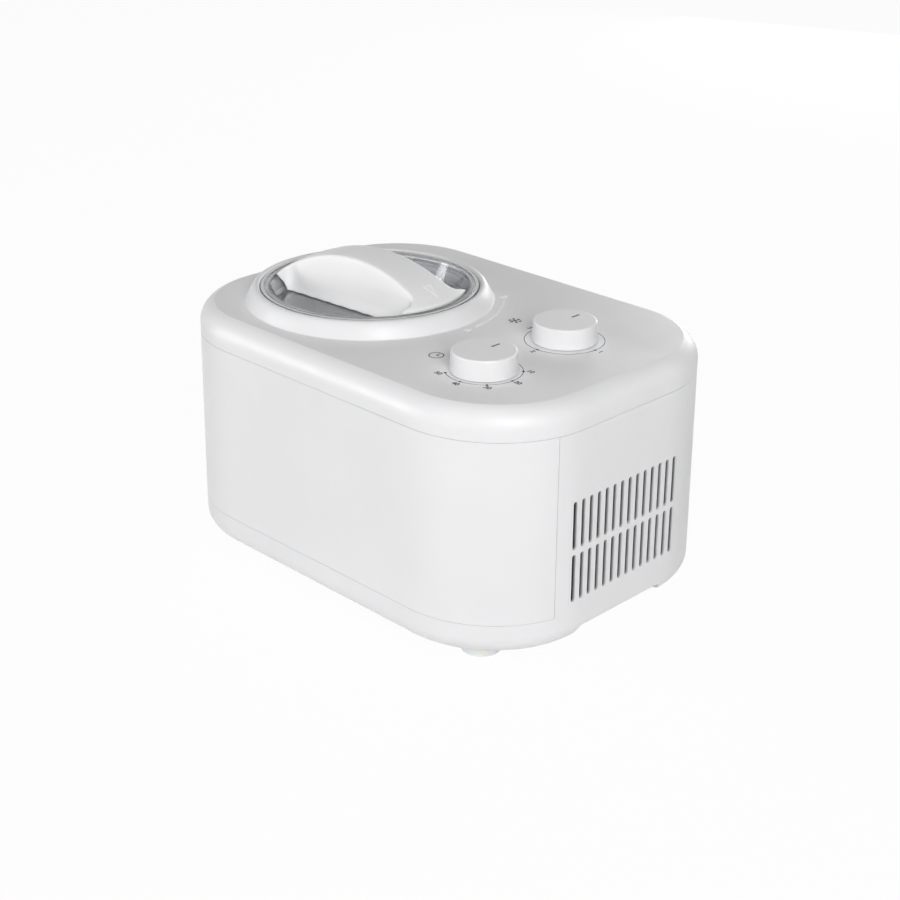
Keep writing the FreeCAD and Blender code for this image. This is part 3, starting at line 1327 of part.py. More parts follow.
NODES = {
    "base_shell": base_shell,
    "wrap_panel": wrap_panel,
    "top_cover": top_cover,
    "cord_gland": cord_gland,
    "feet": feet,
    "foot_screws": foot_screws,
    "tie_posts": tie_posts,
    "tie_screws": tie_screws,
    "lid_window": lid_window,
    "lid_handle": lid_handle,
    "lid_screws": lid_screws,
    "lid_seal": lid_seal,
    "bowl": bowl,
    "paddle": paddle,
    "cooling_well": cooling_well,
    "well_gasket": well_gasket,
    "evaporator_coil": evaporator_coil,
    "foam_jacket": foam_jacket,
    "support_plate": support_plate,
    "plate_screws": plate_screws,
    "bearing_tube": bearing_tube,
    "shaft_bush": shaft_bush,
    "shaft_seal": shaft_seal,
    "drive_shaft": drive_shaft,
    "output_gear": output_gear,
    "idler_gear": idler_gear,
    "idler_pin": idler_pin,
    "gearbox_housing": gearbox_housing,
    "gearbox_cover": gearbox_cover,
    "motor_can": motor_can,
    "motor_stator": motor_stator,
    "motor_rotor": motor_rotor,
    "motor_pinion": motor_pinion,
    "compressor_can": compressor_can,
    "compressor_cap": compressor_cap,
    "compressor_pump": compressor_pump,
    "compressor_plate": compressor_plate,
    "compressor_mounts": compressor_mounts,
    "compressor_bolts": compressor_bolts,
    "terminal_cover": terminal_cover,
    "condenser_fins": condenser_fins,
    "condenser_tube": condenser_tube,
    "filter_drier": filter_drier,
    "capillary": capillary,
    "suction_pipe": suction_pipe,
    "discharge_pipe": discharge_pipe,
    "fan_frame": fan_frame,
    "fan_stator": fan_stator,
    "fan_rotor": fan_rotor,
    "time_knob": lambda: knob(TIME_X, TIME_Y),
    "menu_knob": lambda: knob(MENU_X, MENU_Y),
    "time_pointer": lambda: pointer(TIME_X, TIME_Y),
    "menu_pointer": lambda: pointer(MENU_X, MENU_Y),
    "time_spindle": lambda: spindle_rod(TIME_X, TIME_Y, 0.0),
    "menu_spindle": lambda: spindle_rod(MENU_X, MENU_Y, 0.0),
    "timer_switch": timer_switch,
    "menu_switch": menu_switch,
    "switch_nuts": switch_nuts,
    "control_board": control_board,
    "board_parts": lambda: Part.makeCompound([relay(), run_capacitor(), terminal_block()]),
}

os.makedirs("parts", exist_ok=True)
for name, make in NODES.items():
    make().exportStep("parts/" + name + ".step")
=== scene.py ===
import json
import math

import bmesh
import bpy
from mathutils import Matrix, Vector

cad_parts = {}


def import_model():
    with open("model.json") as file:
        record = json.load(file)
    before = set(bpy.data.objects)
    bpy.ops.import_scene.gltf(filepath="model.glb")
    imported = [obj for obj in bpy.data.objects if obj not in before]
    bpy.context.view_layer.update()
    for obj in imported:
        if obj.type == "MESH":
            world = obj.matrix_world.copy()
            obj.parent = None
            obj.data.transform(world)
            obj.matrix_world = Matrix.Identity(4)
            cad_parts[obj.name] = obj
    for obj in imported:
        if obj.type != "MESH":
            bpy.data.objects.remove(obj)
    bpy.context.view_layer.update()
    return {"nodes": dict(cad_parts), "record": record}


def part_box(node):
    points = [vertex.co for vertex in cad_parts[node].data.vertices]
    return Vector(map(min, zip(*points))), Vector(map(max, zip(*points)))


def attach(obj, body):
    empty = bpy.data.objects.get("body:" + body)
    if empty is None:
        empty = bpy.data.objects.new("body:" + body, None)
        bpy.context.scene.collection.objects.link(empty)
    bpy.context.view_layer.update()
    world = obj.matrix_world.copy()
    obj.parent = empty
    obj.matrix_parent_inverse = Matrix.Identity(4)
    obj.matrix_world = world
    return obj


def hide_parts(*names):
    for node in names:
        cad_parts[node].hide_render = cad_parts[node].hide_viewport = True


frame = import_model()
nodes = frame["nodes"]
MM = 0.001
FULL_TURN = 360.0
QUARTER_TURN = 90.0


# Places taken from the frame
def middle(node):
    low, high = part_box(node)
    return (low + high) / 2


LID = middle("lid_window")
TIME = middle("time_knob")
MENU = middle("menu_knob")
DECK_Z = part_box("switch_nuts")[0].z
WINDOW_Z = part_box("lid_handle")[0].z
CREST_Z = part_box("lid_handle")[1].z

# Handle: a slice of a dome between two finger pockets, narrower at its foot than at its rim.
# The profile pairs heights above the window with half widths of the bar, in millimetres.
HANDLE_TURN = math.radians(3.5)
HANDLE_R = 75.0 * MM
HANDLE_FOOT_R = 68.5 * MM
HANDLE_END_Z = CREST_Z - 23.0 * MM
HANDLE_PAD = 64.8 * MM
HANDLE_LIFT = 0.3 * MM
HANDLE_RINGS = 40
HANDLE_SPOKES = 128
HANDLE_VOXEL = 0.85 * MM
HANDLE_SOFT = 0.5
HANDLE_SMOOTH = 22
SIDE_PROFILE = ((0.0, 26.4), (3.0, 24.2), (8.0, 22.4), (16.0, 20.5), (28.0, 18.4), (45.0, 15.4))
POCKET_BELOW = 2.0 * MM
POCKET_FAR = 2.0 * HANDLE_R
POCKET_CORNER = 7.0 * MM
POCKET_CORNER_STEPS = 6

# Air slots in the right end: painted shade on their walls, deepening with depth behind the leaning face
FACE_FOOT_X = 181.98 * MM
FACE_LEAN = 0.01145
SLOTS_HALF_Y = 57.0 * MM
SLOTS_Z = 80.0 * MM
SLOTS_HALF_Z = 40.0 * MM
SHADE_START_DEPTH = 0.5 * MM
SHADE_FULL_DEPTH = 2.5 * MM
SLOT_END_DEPTH = 25.0 * MM
# Colour factor of the painted shade at full depth in the slots
SLOT_SHADE = 0.06

# Frosted band on the outer part of the lid rim
BAND_IN = 80.1 * MM
BAND_OUT = 82.5 * MM
BAND_T = 0.12 * MM

# Dials: each mark has its place in degrees from the right, and its number
INK_T = 0.06 * MM
TIME_RING_R = 26.9 * MM
MENU_RING_R = 28.8 * MM
DIAL_LINE = 0.5 * MM
DIAL_DOT = 1.1 * MM
DIGIT_GAP = 4.8 * MM
DIGIT_H = 4.2 * MM
DIGIT_BOLD = 0.16 * MM
FONT_PER_HEIGHT = 1.35
TIME_MARKS = ((90.0, "0"), (41.0, "10"), (-0.5, "20"), (-42.0, "30"), (-83.0, "40"), (-124.0, "50"))
MENU_MARKS = ((90.0, "0"), (0.0, "1"), (-90.0, "2"), (-180.0, "3"))

# Clock and snowflake beside the dials
CLOCK_AT = Vector((57.0, -63.5)) * MM
FLAKE_AT = Vector((46.9, 27.8)) * MM
ICON_R = 5.2 * MM
ICON_LINE = 0.8 * MM
MINUTE_HAND = 0.72 * ICON_R
HOUR_HAND = 0.5 * ICON_R
FLAKE_ARMS = 6
FLAKE_FORK_AT = 0.55 * ICON_R
FLAKE_FORK = 0.36 * ICON_R
FLAKE_FORK_TURN = 40

# Lock scale: an arc in degrees round the lid, with a padlock at each end
LOCK_R = 101.8 * MM
LOCK_FROM = 1.0
LOCK_TO = 46.0
LOCK_ROOM = 5.0
LOCK_LINE = 1.3 * MM
LOCK_T = 0.5 * MM
PADLOCK_HALF = 2.1 * MM
PADLOCK_TOP = 0.6 * PADLOCK_HALF
SHACKLE_LIFT = 0.4 * MM
SHACKLE_R = 1.5 * MM
SHACKLE_LINE = 0.6 * MM
SHACKLE_OPEN = 110.0
SHACKLE_SHUT = 180.0

# Arrow on the handle
MARK_FROM = 58.0 * MM
MARK_TO = 69.0 * MM
MARK_HALF = 3.6 * MM
MARK_LINE = 0.8 * MM
MARK_T = 0.35 * MM

# Fineness of round prints
ARC_STEP = 4.0
ARC_LEAST = 4
DISC_SIDES = 20

# Camera, from the photo's edges
CAMERA_AT = Vector((0.8402, -0.8432, 0.6181))
CAMERA_RIGHT = Vector((0.70901, 0.70514, 0.00939))
CAMERA_UP = Vector((-0.29595, 0.28543, 0.91156))
CAMERA_LENS = 68.02
SENSOR_W = 36.0

# Light: soft boxes, each with degrees round from the front, degrees up and watts
SOFT_BOXES = {
    "left_box": (-45.0, 6.0, 22.5),
    "front_box": (5.0, 28.0, 4.5),
    "right_box": (60.0, 28.0, 33.0),
    "top_box": (45.0, 70.0, 7.5),
    "rear_box": (200.0, 8.0, 15.0),
}
BOX_SIZE = 1.1
BOX_REACH = 2.3
AMBIENT = 0.03
WHITE_LIGHT = (1.0, 1.0, 1.0, 1.0)
FLOOR_SHOWN = 0.96
FLOOR_HALF = 6.0
FLOOR_LOW = (0.86, 0.86, 0.86, 1.0)
FLOOR_HIGH = (0.88, 0.88, 0.88, 1.0)

# Span of the noise that is put to use, and the colour sockets of a mix node
NOISE_LOW = 0.3
NOISE_HIGH = 0.7
MIX_FIRST = 6
MIX_SECOND = 7
MIX_RESULT = 2


# Shader helpers
def calc(tree, operation, *values):
    # A maths node whose inputs are sockets or numbers.
    node = tree.nodes.new("ShaderNodeMath")
    node.operation = operation
    for entry, value in zip(node.inputs, values):
        if isinstance(value, bpy.types.NodeSocket):
            tree.links.new(value, entry)
        else:
            entry.default_value = value
    return node.outputs[0]


class Shader:
    def __init__(self, name):
        self.material = bpy.data.materials.new(name)
        self.material.use_nodes = True
        self.tree = self.material.node_tree
        self.nodes = self.tree.nodes
        self.links = self.tree.links
        self.surface = self.nodes["Principled BSDF"]
        self.coords = self.nodes.new("ShaderNodeTexCoord").outputs["Object"]

    def set(self, **values):
        for key, value in values.items():
            self.surface.inputs[key.replace("_", " ")].default_value = value

    def noise(self, scale, detail=3.0, stretch=(1.0, 1.0, 1.0)):
        mapping = self.nodes.new("ShaderNodeMapping")
        mapping.inputs["Scale"].default_value = stretch
        texture = self.nodes.new("ShaderNodeTexNoise")
        texture.inputs["Scale"].default_value = scale
        texture.inputs["Detail"].default_value = detail
        self.links.new(self.coords, mapping.inputs["Vector"])
        self.links.new(mapping.outputs["Vector"], texture.inputs["Vector"])
        return texture.outputs["Fac"]

    def ramp(self, value, low, high):
        node = self.nodes.new("ShaderNodeValToRGB")
        first, last = node.color_ramp.elements
        first.position, last.position = NOISE_LOW, NOISE_HIGH
        first.color, last.color = low, high
        self.links.new(value, node.inputs["Fac"])
        return node.outputs["Color"]

    def spread(self, value, low, high, start=NOISE_LOW, end=NOISE_HIGH):
        node = self.nodes.new("ShaderNodeMapRange")
        node.inputs["From Min"].default_value = start
        node.inputs["From Max"].default_value = end
        node.inputs["To Min"].default_value = low
        node.inputs["To Max"].default_value = high
        self.links.new(value, node.inputs["Value"])
        return node.outputs["Result"]

    def mixed(self, share, first, second):
        node = self.nodes.new("ShaderNodeMix")
        node.data_type = "RGBA"
        self.links.new(share, node.inputs["Factor"])
        self.links.new(first, node.inputs[MIX_FIRST])
        node.inputs[MIX_SECOND].default_value = second
        return node.outputs[MIX_RESULT]

    def bump(self, value, strength, distance):
        node = self.nodes.new("ShaderNodeBump")
        node.inputs["Strength"].default_value = strength
        node.inputs["Distance"].default_value = distance
        self.links.new(value, node.inputs["Height"])
        self.links.new(node.outputs["Normal"], self.surface.inputs["Normal"])

    def colour(self, socket):
        self.links.new(socket, self.surface.inputs["Base Color"])

    def rough(self, socket):
        self.links.new(socket, self.surface.inputs["Roughness"])


def shade(colour, factor):
    return tuple(c * factor for c in colour) + (1.0,)


def slot_shade_share(s):
    # Share of painted shade: zero on the outer face and away from the air slots, rising to one inside
    # them.
    split = s.nodes.new("ShaderNodeSeparateXYZ")
    s.links.new(s.coords, split.inputs[0])
    x, y, z = split.outputs
    upright = calc(s.tree, "MULTIPLY_ADD", z, FACE_LEAN, x)
    shade_start, shade_full = FACE_FOOT_X - SHADE_START_DEPTH, FACE_FOOT_X - SHADE_FULL_DEPTH
    share = s.spread(upright, 0.0, 1.0, shade_start, shade_full)
    limits = ((x, FACE_FOOT_X, SLOT_END_DEPTH), (y, 0.0, SLOTS_HALF_Y), (z, SLOTS_Z, SLOTS_HALF_Z))
    for value, centre, reach in limits:
        share = calc(s.tree, "MULTIPLY", share, calc(s.tree, "COMPARE", value, centre, reach))
    return share


def moulded(name, colour, rough, grain=5200.0, depth=0.035, shaded_slots=False):
    # Moulded plastic: fine spark grain, faint clouding and uneven sheen, and on request painted shade on
    # the air slot walls.
    s = Shader(name)
    cloud = s.noise(scale=14.0, detail=4.0)
    tone = s.ramp(cloud, shade(colour, 0.975), shade(colour, 1.0))
    # Painted shade: the slot walls go nearly black with depth
    if shaded_slots:
        tone = s.mixed(slot_shade_share(s), tone, shade(colour, SLOT_SHADE))
    s.colour(tone)
    s.rough(s.spread(s.noise(scale=60.0, detail=5.0), low=rough - 0.05, high=rough + 0.05))
    s.bump(s.noise(scale=grain, detail=2.0), strength=depth, distance=0.0001)
    return s.material


def rubber(name, colour, rough):
    # Matt rubber with a fine uneven skin.
    s = Shader(name)
    s.colour(s.ramp(s.noise(scale=120.0, detail=5.0), shade(colour, 0.9), shade(colour, 1.0)))
    s.rough(s.spread(s.noise(scale=300.0, detail=4.0), low=rough - 0.06, high=rough + 0.08))
    s.bump(s.noise(scale=2600.0, detail=3.0), strength=0.12, distance=0.0002)
    return s.material


def metal(name, colour, rough, stretch, scale, depth):
    # Drawn or brushed metal: streaks along one direction.
    s = Shader(name)
    streak = s.noise(scale, detail=4.0, stretch=stretch)
    s.set(Metallic=1.0)
    s.colour(s.ramp(streak, shade(colour, 0.86), shade(colour, 1.0)))
    s.rough(s.spread(streak, low=rough - 0.07, high=rough + 0.1))
    s.bump(streak, strength=depth, distance=0.0002)
    return s.material


def enamel(name, colour):
    # Paint or lacquer with a slightly wavy skin.
    s = Shader(name)
    s.colour(s.ramp(s.noise(scale=40.0, detail=5.0), shade(colour, 0.8), shade(colour, 1.15)))
    s.rough(s.spread(s.noise(scale=25.0, detail=4.0), low=0.28, high=0.4))
    s.bump(s.noise(scale=420.0, detail=2.0), strength=0.1, distance=0.0003)
    return s.material


def clear(name, tint):
    # Clear moulding with a smoky cast, faint haze and flow marks.
    s = Shader(name)
    s.set(Transmission_Weight=0.86, IOR=1.46)
    s.colour(s.ramp(s.noise(scale=9.0, detail=3.0), shade(tint, 0.94), shade(tint, 1.0)))
    s.rough(s.spread(s.noise(scale=30.0, detail=4.0), low=0.03, high=0.09))
    s.bump(s.noise(scale=28.0, detail=2.0), strength=0.02, distance=0.001)
    return s.material


def milky(name, colour):
    # Pale rubber that lets a little light in.
    s = Shader(name)
    s.set(Subsurface_Weight=0.35, Subsurface_Scale=0.004)
    s.colour(s.ramp(s.noise(scale=90.0, detail=4.0), shade(colour, 0.95), shade(colour, 1.0)))
    s.rough(s.spread(s.noise(scale=260.0, detail=4.0), low=0.42, high=0.56))
    s.bump(s.noise(scale=1800.0, detail=3.0), strength=0.08, distance=0.0002)
    return s.material


def foamed(name, colour):
    # Rigid foam: colour, sheen and relief all follow its cells.
    s = Shader(name)
    cells = s.noise(scale=700.0, detail=6.0)
    s.colour(s.ramp(cells, shade(colour, 0.8), shade(colour, 1.05)))
    s.rough(s.spread(cells, low=0.8, high=0.95))
    s.bump(cells, strength=0.5, distance=0.001)
    return s.material


# Shell colour, stretch of the streaks on turned and on long pieces, and a look for each slot
WHITE = (0.845, 0.845, 0.855)
ROUND = (1.0, 1.0, 30.0)
LONG = (1.0, 30.0, 30.0)
LOOKS = {
    "white_shell": moulded("white_shell", WHITE, rough=0.40),
    # The knobs are the shell's white plastic, made lighter here as painted light on their sides
    "white_knob": moulded("white_knob", (0.88, 0.88, 0.888), rough=0.36, grain=7000.0, depth=0.025),
    "clear_lid": clear("clear_lid", (0.84, 0.85, 0.87)),
    "dark_inlay": moulded("dark_inlay", (0.012, 0.012, 0.013), rough=0.5),
    "pale_rubber": milky("pale_rubber", (0.90, 0.90, 0.89)),
    "grey_rubber": rubber("grey_rubber", (0.11, 0.112, 0.118), rough=0.6),
    "bare_aluminium": metal("bare_aluminium", (0.74, 0.75, 0.76), 0.32, ROUND, scale=60.0, depth=0.08),
    "bright_steel": metal("bright_steel", (0.60, 0.61, 0.63), 0.28, LONG, scale=40.0, depth=0.06),
    "black_paint": enamel("black_paint", (0.018, 0.018, 0.02)),
    "copper": metal("copper", (0.80, 0.42, 0.28), 0.3, LONG, scale=50.0, depth=0.05),
    "bronze": metal("bronze", (0.62, 0.42, 0.20), 0.4, ROUND, scale=80.0, depth=0.1),
    "foam": foamed("foam", (0.72, 0.62, 0.36)),
    "black_plastic": moulded("black_plastic", (0.022, 0.022, 0.024), rough=0.5, grain=3000.0, depth=0.06),
    "grey_plastic": moulded("grey_plastic", (0.30, 0.31, 0.32), rough=0.45),
    "gear_nylon": moulded("gear_nylon", (0.70, 0.69, 0.62), rough=0.42),
    "board_green": enamel("board_green", (0.02, 0.12, 0.06)),
}
# Shell with painted shade in its air slots
SLOT_SHADED_SHELL = moulded("slot_shaded_shell", WHITE, rough=0.40, shaded_slots=True)
# The handle is the shell's white plastic, made lighter here as painted light on its sides and top
HANDLE_LIT_WHITE = moulded("handle_lit_white", (0.93, 0.93, 0.936), rough=0.38, grain=7000.0, depth=0.025)
FROST = moulded("frost", (0.80, 0.805, 0.81), rough=0.5, grain=9000.0, depth=0.04)
# Near-black coat on the condenser fins in place of bare aluminium: painted shade seen through the air
# slots
FINS_SHADE_BLACK = enamel("fins_shade_black", (0.03, 0.03, 0.033))
INK = moulded("ink", (0.02, 0.02, 0.022), rough=0.55, grain=9000.0, depth=0.02)
WHITE_MARK = moulded("white_mark", (0.98, 0.98, 0.98), rough=0.35, grain=9000.0, depth=0.02)


def dress(obj, material):
    obj.data.materials.clear()
    obj.data.materials.append(material)


def dress_nodes():
    for part in frame["record"]["subparts"]:
        dress(nodes[part["node"]], LOOKS[part["material_slot"]])
    dress(nodes["base_shell"], SLOT_SHADED_SHELL)
    # Condenser fins near-black as painted shade behind the slots
    dress(nodes["condenser_fins"], FINS_SHADE_BLACK)


# Mesh helpers
def loose_object(name, bm):
    bmesh.ops.recalc_face_normals(bm, faces=bm.faces)
    mesh = bpy.data.meshes.new(name)
    bm.to_mesh(mesh)
    bm.free()
    obj = bpy.data.objects.new(name, mesh)
    bpy.context.scene.collection.objects.link(obj)
    return obj


def piece(name, bm, material, body):
    obj = loose_object(name, bm)
    dress(obj, material)
    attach(obj, body)


def baked_mesh(obj):
    bpy.context.view_layer.update()
    return bpy.data.meshes.new_from_object(obj.evaluated_get(bpy.context.evaluated_depsgraph_get()))


def add_prism(bm, points, low, high):
    # A closed prism on an outline; low and high give the height at each point.
    bottom = [bm.verts.new((x, y, low(x, y))) for x, y in points]
    top = [bm.verts.new((x, y, high(x, y))) for x, y in points]
    bm.faces.new(bottom[::-1])
    bm.faces.new(top)
    for k in range(len(points)):
        n = (k + 1) % len(points)
        bm.faces.new((bottom[k], bottom[n], top[n], top[k]))


def flat(z):
    return lambda x, y: z


def on_deck(thickness):
    return flat(DECK_Z), flat(DECK_Z + thickness)


def on_circle(centre, r, degrees):
    a = math.radians(degrees)
    return Vector((centre[0] + r * math.cos(a), centre[1] + r * math.sin(a)))


def add_arc(bm, centre, r, width, start, end, low, high):
    # A band along an arc, as a row of short straight prisms.
    steps = max(ARC_LEAST, int(abs(end - start) / ARC_STEP))
    angles = [math.radians(start + (end - start) * k / steps) for k in range(steps + 1)]
    inner, outer = r - width / 2, r + width / 2
    for first, last in zip(angles, angles[1:]):
        corners = [(inner, first), (outer, first), (outer, last), (inner, last)]
        points = [(centre[0] + q * math.cos(a), centre[1] + q * math.sin(a)) for q, a in corners]
        add_prism(bm, points, low, high)


def add_disc(bm, centre, r, low, high):
    turns = [2 * math.pi * k / DISC_SIDES for k in range(DISC_SIDES)]
    add_prism(bm, [(centre[0] + r * math.cos(a), centre[1] + r * math.sin(a)) for a in turns], low, high)


def add_bar(bm, p, q, width, low, high):
    along = (Vector(q) - Vector(p)).normalized()
    side = Vector((-along.y, along.x)) * (width / 2)
    corners = [Vector(p) - side, Vector(q) - side, Vector(q) + side, Vector(p) + side]
    add_prism(bm, [tuple(c) for c in corners], low, high)


def add_text(bm, words, centre, height, z, thickness):
    curve = bpy.data.curves.new("digits", "FONT")
    curve.body = words
    curve.size = height * FONT_PER_HEIGHT
    curve.align_x = "CENTER"
    curve.align_y = "CENTER"
    curve.extrude = thickness / 2
    curve.offset = DIGIT_BOLD
    text = bpy.data.objects.new("digits", curve)
    bpy.context.scene.collection.objects.link(text)
    mesh = baked_mesh(text)
    mesh.transform(Matrix.Translation((centre[0], centre[1], z + thickness / 2)))
    bm.from_mesh(mesh)
    bpy.data.objects.remove(text)
    bpy.data.meshes.remove(mesh)


# Prints on the deck and the band on the lid rim
def dial(name, centre, ring_r, marks):
    bm = bmesh.new()
    low, high = on_deck(INK_T)
    angles = sorted(a for a, words in marks)
    for first, last in zip(angles, angles[1:]):
        add_arc(bm, centre, ring_r, DIAL_LINE, first, last, low, high)
    for angle, words in marks:
        add_disc(bm, on_circle(centre, ring_r, angle), DIAL_DOT, low, high)
        add_text(bm, words, on_circle(centre, ring_r + DIGIT_GAP, angle), DIGIT_H, DECK_Z, INK_T)
    piece(name, bm, INK, "housing")


def clock_icon():
    bm = bmesh.new()
    low, high = on_deck(INK_T)
    add_arc(bm, CLOCK_AT, ICON_R, ICON_LINE, 0.0, FULL_TURN, low, high)
    add_bar(bm, CLOCK_AT, CLOCK_AT + Vector((0.0, MINUTE_HAND)), ICON_LINE, low, high)
    add_bar(bm, CLOCK_AT, CLOCK_AT + Vector((HOUR_HAND, 0.0)), ICON_LINE, low, high)
    piece("clock_icon", bm, INK, "housing")


def flake_icon():
    bm = bmesh.new()
    low, high = on_deck(INK_T)
    for k in range(FLAKE_ARMS):
        angle = QUARTER_TURN + FULL_TURN / FLAKE_ARMS * k
        tip = on_circle(FLAKE_AT, ICON_R, angle)
        fork = on_circle(FLAKE_AT, FLAKE_FORK_AT, angle)
        add_bar(bm, FLAKE_AT, tip, ICON_LINE, low, high)
        for side in (-FLAKE_FORK_TURN, FLAKE_FORK_TURN):
            add_bar(bm, fork, on_circle(fork, FLAKE_FORK, angle + side), ICON_LINE, low, high)
    piece("flake_icon", bm, INK, "housing")


def padlock(bm, at, shackle_end, low, high):
    left, right = at[0] - PADLOCK_HALF, at[0] + PADLOCK_HALF
    bottom, top = at[1] - PADLOCK_HALF, at[1] + PADLOCK_TOP
    add_prism(bm, [(left, bottom), (right, bottom), (right, top), (left, top)], low, high)
    shackle = Vector((at[0], top + SHACKLE_LIFT))
    add_arc(bm, shackle, SHACKLE_R, SHACKLE_LINE, 0.0, shackle_end, low, high)


def lock_scale():
    bm = bmesh.new()
    low, high = on_deck(LOCK_T)
    add_arc(bm, LID, LOCK_R, LOCK_LINE, LOCK_FROM + LOCK_ROOM, LOCK_TO - LOCK_ROOM, low, high)
    padlock(bm, on_circle(LID, LOCK_R, LOCK_FROM), SHACKLE_OPEN, low, high)
    padlock(bm, on_circle(LID, LOCK_R, LOCK_TO), SHACKLE_SHUT, low, high)
    piece("lock_scale", bm, WHITE_MARK, "housing")


def rim_band():
    bm = bmesh.new()
    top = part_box("lid_window")[1].z
    width = BAND_OUT - BAND_IN
    add_arc(bm, LID, (BAND_IN + BAND_OUT) / 2, width, 0.0, FULL_TURN, flat(top), flat(top + BAND_T))
    piece("rim_band", bm, FROST, "lid")


# Lid handle
def dome_z(x, y):
    sag = CREST_Z - HANDLE_END_Z
    r = (HANDLE_R ** 2 + sag ** 2) / (2 * sag)
    flat_r = math.hypot(x - LID.x, y - LID.y)
    return CREST_Z - r + math.sqrt(r ** 2 - flat_r ** 2)


def ring_of(r):
    return [on_circle(LID, r, FULL_TURN * n / HANDLE_SPOKES) for n in range(HANDLE_SPOKES)]


def add_dome(bm):
    low = WINDOW_Z + HANDLE_LIFT
    loops = []
    for k in range(1, HANDLE_RINGS + 1):
        points = ring_of(HANDLE_R * k / HANDLE_RINGS)
        loops.append([bm.verts.new((p.x, p.y, dome_z(p.x, p.y))) for p in points])
    foot = [bm.verts.new((p.x, p.y, low)) for p in ring_of(HANDLE_FOOT_R)]
    bm.faces.new(loops[0])
    for inner, outer in zip(loops, loops[1:] + [foot]):
        for n in range(HANDLE_SPOKES):
            m = (n + 1) % HANDLE_SPOKES
            bm.faces.new((inner[n], outer[n], outer[m], inner[m]))
    bm.faces.new(foot[::-1])


def add_pocket(bm, side):
    # Outline in plan at each level: bar side, two round corners and the open side.
    levels = [(-POCKET_BELOW, SIDE_PROFILE[0][1] * MM)]
    levels += [(h * MM, b * MM) for h, b in SIDE_PROFILE]
    turn = Matrix.Rotation(HANDLE_TURN + (0.0 if side > 0 else math.pi), 2)
    loops = []
    for height, bar in levels:
        plan = [Vector((-HANDLE_PAD, POCKET_FAR))]
        for end, start in ((-1, 2 * QUARTER_TURN), (1, 3 * QUARTER_TURN)):
            corner = Vector((end * (HANDLE_PAD - POCKET_CORNER), bar + POCKET_CORNER))
            for n in range(POCKET_CORNER_STEPS + 1):
                angle = start + QUARTER_TURN * n / POCKET_CORNER_STEPS
                plan.append(on_circle(corner, POCKET_CORNER, angle))
        plan.append(Vector((HANDLE_PAD, POCKET_FAR)))
        placed = [turn @ p for p in plan]
        loops.append([bm.verts.new((LID.x + p.x, LID.y + p.y, WINDOW_Z + height)) for p in placed])
    count = len(loops[0])
    for lower, upper in zip(loops, loops[1:]):
        for n in range(count):
            m = (n + 1) % count
            bm.faces.new((lower[n], lower[m], upper[m], upper[n]))
    bm.faces.new(loops[0][::-1])
    bm.faces.new(loops[-1])


def handle():
    # The dome less two pockets, remeshed evenly and smoothed for soft edges.
    bm = bmesh.new()
    add_dome(bm)
    block = loose_object("handle_grip", bm)
    pockets = []
    for side in (1, -1):
        bm = bmesh.new()
        add_pocket(bm, side)
        pockets.append(loose_object("pocket", bm))
        cut = block.modifiers.new("pocket", "BOOLEAN")
        cut.operation = "DIFFERENCE"
        cut.solver = "EXACT"
        cut.object = pockets[-1]
    remesh = block.modifiers.new("even", "REMESH")
    remesh.mode = "VOXEL"
    remesh.voxel_size = HANDLE_VOXEL
    soften = block.modifiers.new("soft", "SMOOTH")
    soften.factor = HANDLE_SOFT
    soften.iterations = HANDLE_SMOOTH
    mesh = baked_mesh(block)
    block.modifiers.clear()
    block.data = mesh
    for p in pockets:
        bpy.data.objects.remove(p)
    mesh.shade_smooth()
    dress(block, HANDLE_LIT_WHITE)
    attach(block, "lid")
    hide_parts("lid_handle")


def by_dome(offset):
    return lambda x, y: dome_z(x, y) + offset


def handle_mark():
    # A small raised arrow that points at the lock scale.
    bm = bmesh.new()
    turn = Matrix.Rotation(HANDLE_TURN, 2)
    centre = Vector((LID.x, LID.y))
    corners = ((MARK_TO, 0.0), (MARK_FROM, MARK_HALF), (MARK_FROM, -MARK_HALF))
    tip, left, right = [centre + turn @ Vector(p) for p in corners]
    for p, q in ((left, tip), (tip, right), (right, left)):
        add_bar(bm, p, q, MARK_LINE, by_dome(-MARK_T), by_dome(MARK_T))
    piece("handle_mark", bm, WHITE_MARK, "lid")


# Stage
def seen_rays(tree):
    # One where the camera, a reflection or a clear piece looks, zero for diffuse light.
    path = tree.nodes.new("ShaderNodeLightPath")
    total = path.outputs["Is Camera Ray"]
    for name in ("Is Glossy Ray", "Is Transmission Ray"):
        total = calc(tree, "MAXIMUM", total, path.outputs[name])
    return total


def floor():
    # Nearly white to the eye, but the light it returns and the shadow on it are real.
    bm = bmesh.new()
    corners = ((-1, -1), (1, -1), (1, 1), (-1, 1))
    bm.faces.new([bm.verts.new((sx * FLOOR_HALF, sy * FLOOR_HALF, 0.0)) for sx, sy in corners])
    obj = loose_object("floor", bm)
    s = Shader("floor")
    s.colour(s.ramp(s.noise(scale=3.0), FLOOR_LOW, FLOOR_HIGH))
    s.set(Roughness=0.9)
    share = calc(s.tree, "MULTIPLY", seen_rays(s.tree), FLOOR_SHOWN)
    glow = s.nodes.new("ShaderNodeEmission")
    mix = s.nodes.new("ShaderNodeMixShader")
    s.links.new(share, mix.inputs["Fac"])
    s.links.new(s.surface.outputs[0], mix.inputs[1])
    s.links.new(glow.outputs[0], mix.inputs[2])
    s.links.new(mix.outputs[0], s.nodes["Material Output"].inputs["Surface"])
    dress(obj, s.material)


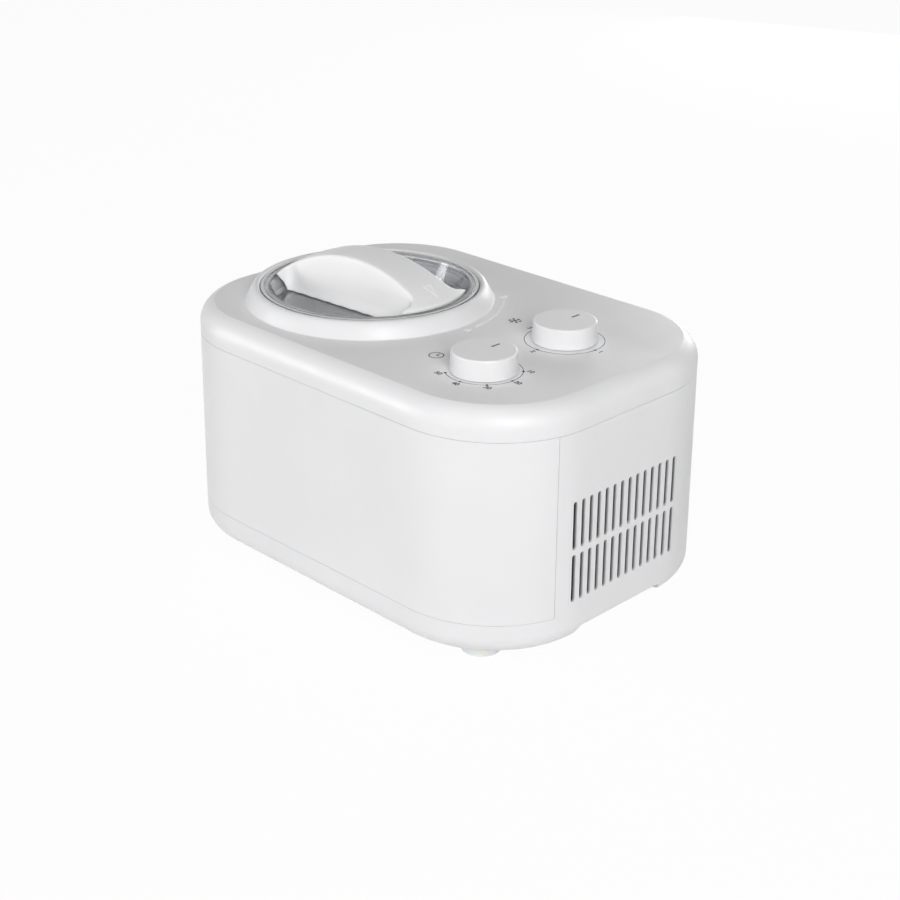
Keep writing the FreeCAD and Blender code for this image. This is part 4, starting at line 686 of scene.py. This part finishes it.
def world():
    w = bpy.data.worlds.new("studio")
    bpy.context.scene.world = w
    w.use_nodes = True
    tree = w.node_tree
    ambient = tree.nodes["Background"]
    ambient.inputs["Color"].default_value = WHITE_LIGHT
    ambient.inputs["Strength"].default_value = AMBIENT
    shown = tree.nodes.new("ShaderNodeBackground")
    shown.inputs["Color"].default_value = WHITE_LIGHT
    mix = tree.nodes.new("ShaderNodeMixShader")
    tree.links.new(seen_rays(tree), mix.inputs["Fac"])
    tree.links.new(ambient.outputs[0], mix.inputs[1])
    tree.links.new(shown.outputs[0], mix.inputs[2])
    tree.links.new(mix.outputs[0], tree.nodes["World Output"].inputs["Surface"])


def soft_box(name, around, up, power):
    data = bpy.data.lights.new(name, "AREA")
    data.energy = power
    data.size = BOX_SIZE
    obj = bpy.data.objects.new(name, data)
    bpy.context.scene.collection.objects.link(obj)
    aim = Vector((0.0, 0.0, 0.5 * CREST_Z))
    turn, rise = math.radians(around), math.radians(up)
    level = math.cos(rise)
    direction = Vector((math.sin(turn) * level, -math.cos(turn) * level, math.sin(rise)))
    obj.location = aim + direction * BOX_REACH
    obj.rotation_euler = (-direction).to_track_quat("-Z", "Y").to_euler()


def camera():
    data = bpy.data.cameras.new("camera")
    data.lens = CAMERA_LENS
    data.sensor_width = SENSOR_W
    data.sensor_fit = "HORIZONTAL"
    obj = bpy.data.objects.new("camera", data)
    bpy.context.scene.collection.objects.link(obj)
    back = CAMERA_RIGHT.cross(CAMERA_UP)
    turn = Matrix((CAMERA_RIGHT, CAMERA_UP, back)).transposed()
    obj.matrix_world = Matrix.Translation(CAMERA_AT) @ turn.to_4x4()
    bpy.context.scene.camera = obj


dress_nodes()
dial("time_dial", TIME, TIME_RING_R, TIME_MARKS)
dial("menu_dial", MENU, MENU_RING_R, MENU_MARKS)
clock_icon()
flake_icon()
lock_scale()
rim_band()
handle()
handle_mark()
floor()
world()
for name, place in SOFT_BOXES.items():
    soft_box(name, *place)
camera()
bpy.context.scene.view_settings.view_transform = "Standard"
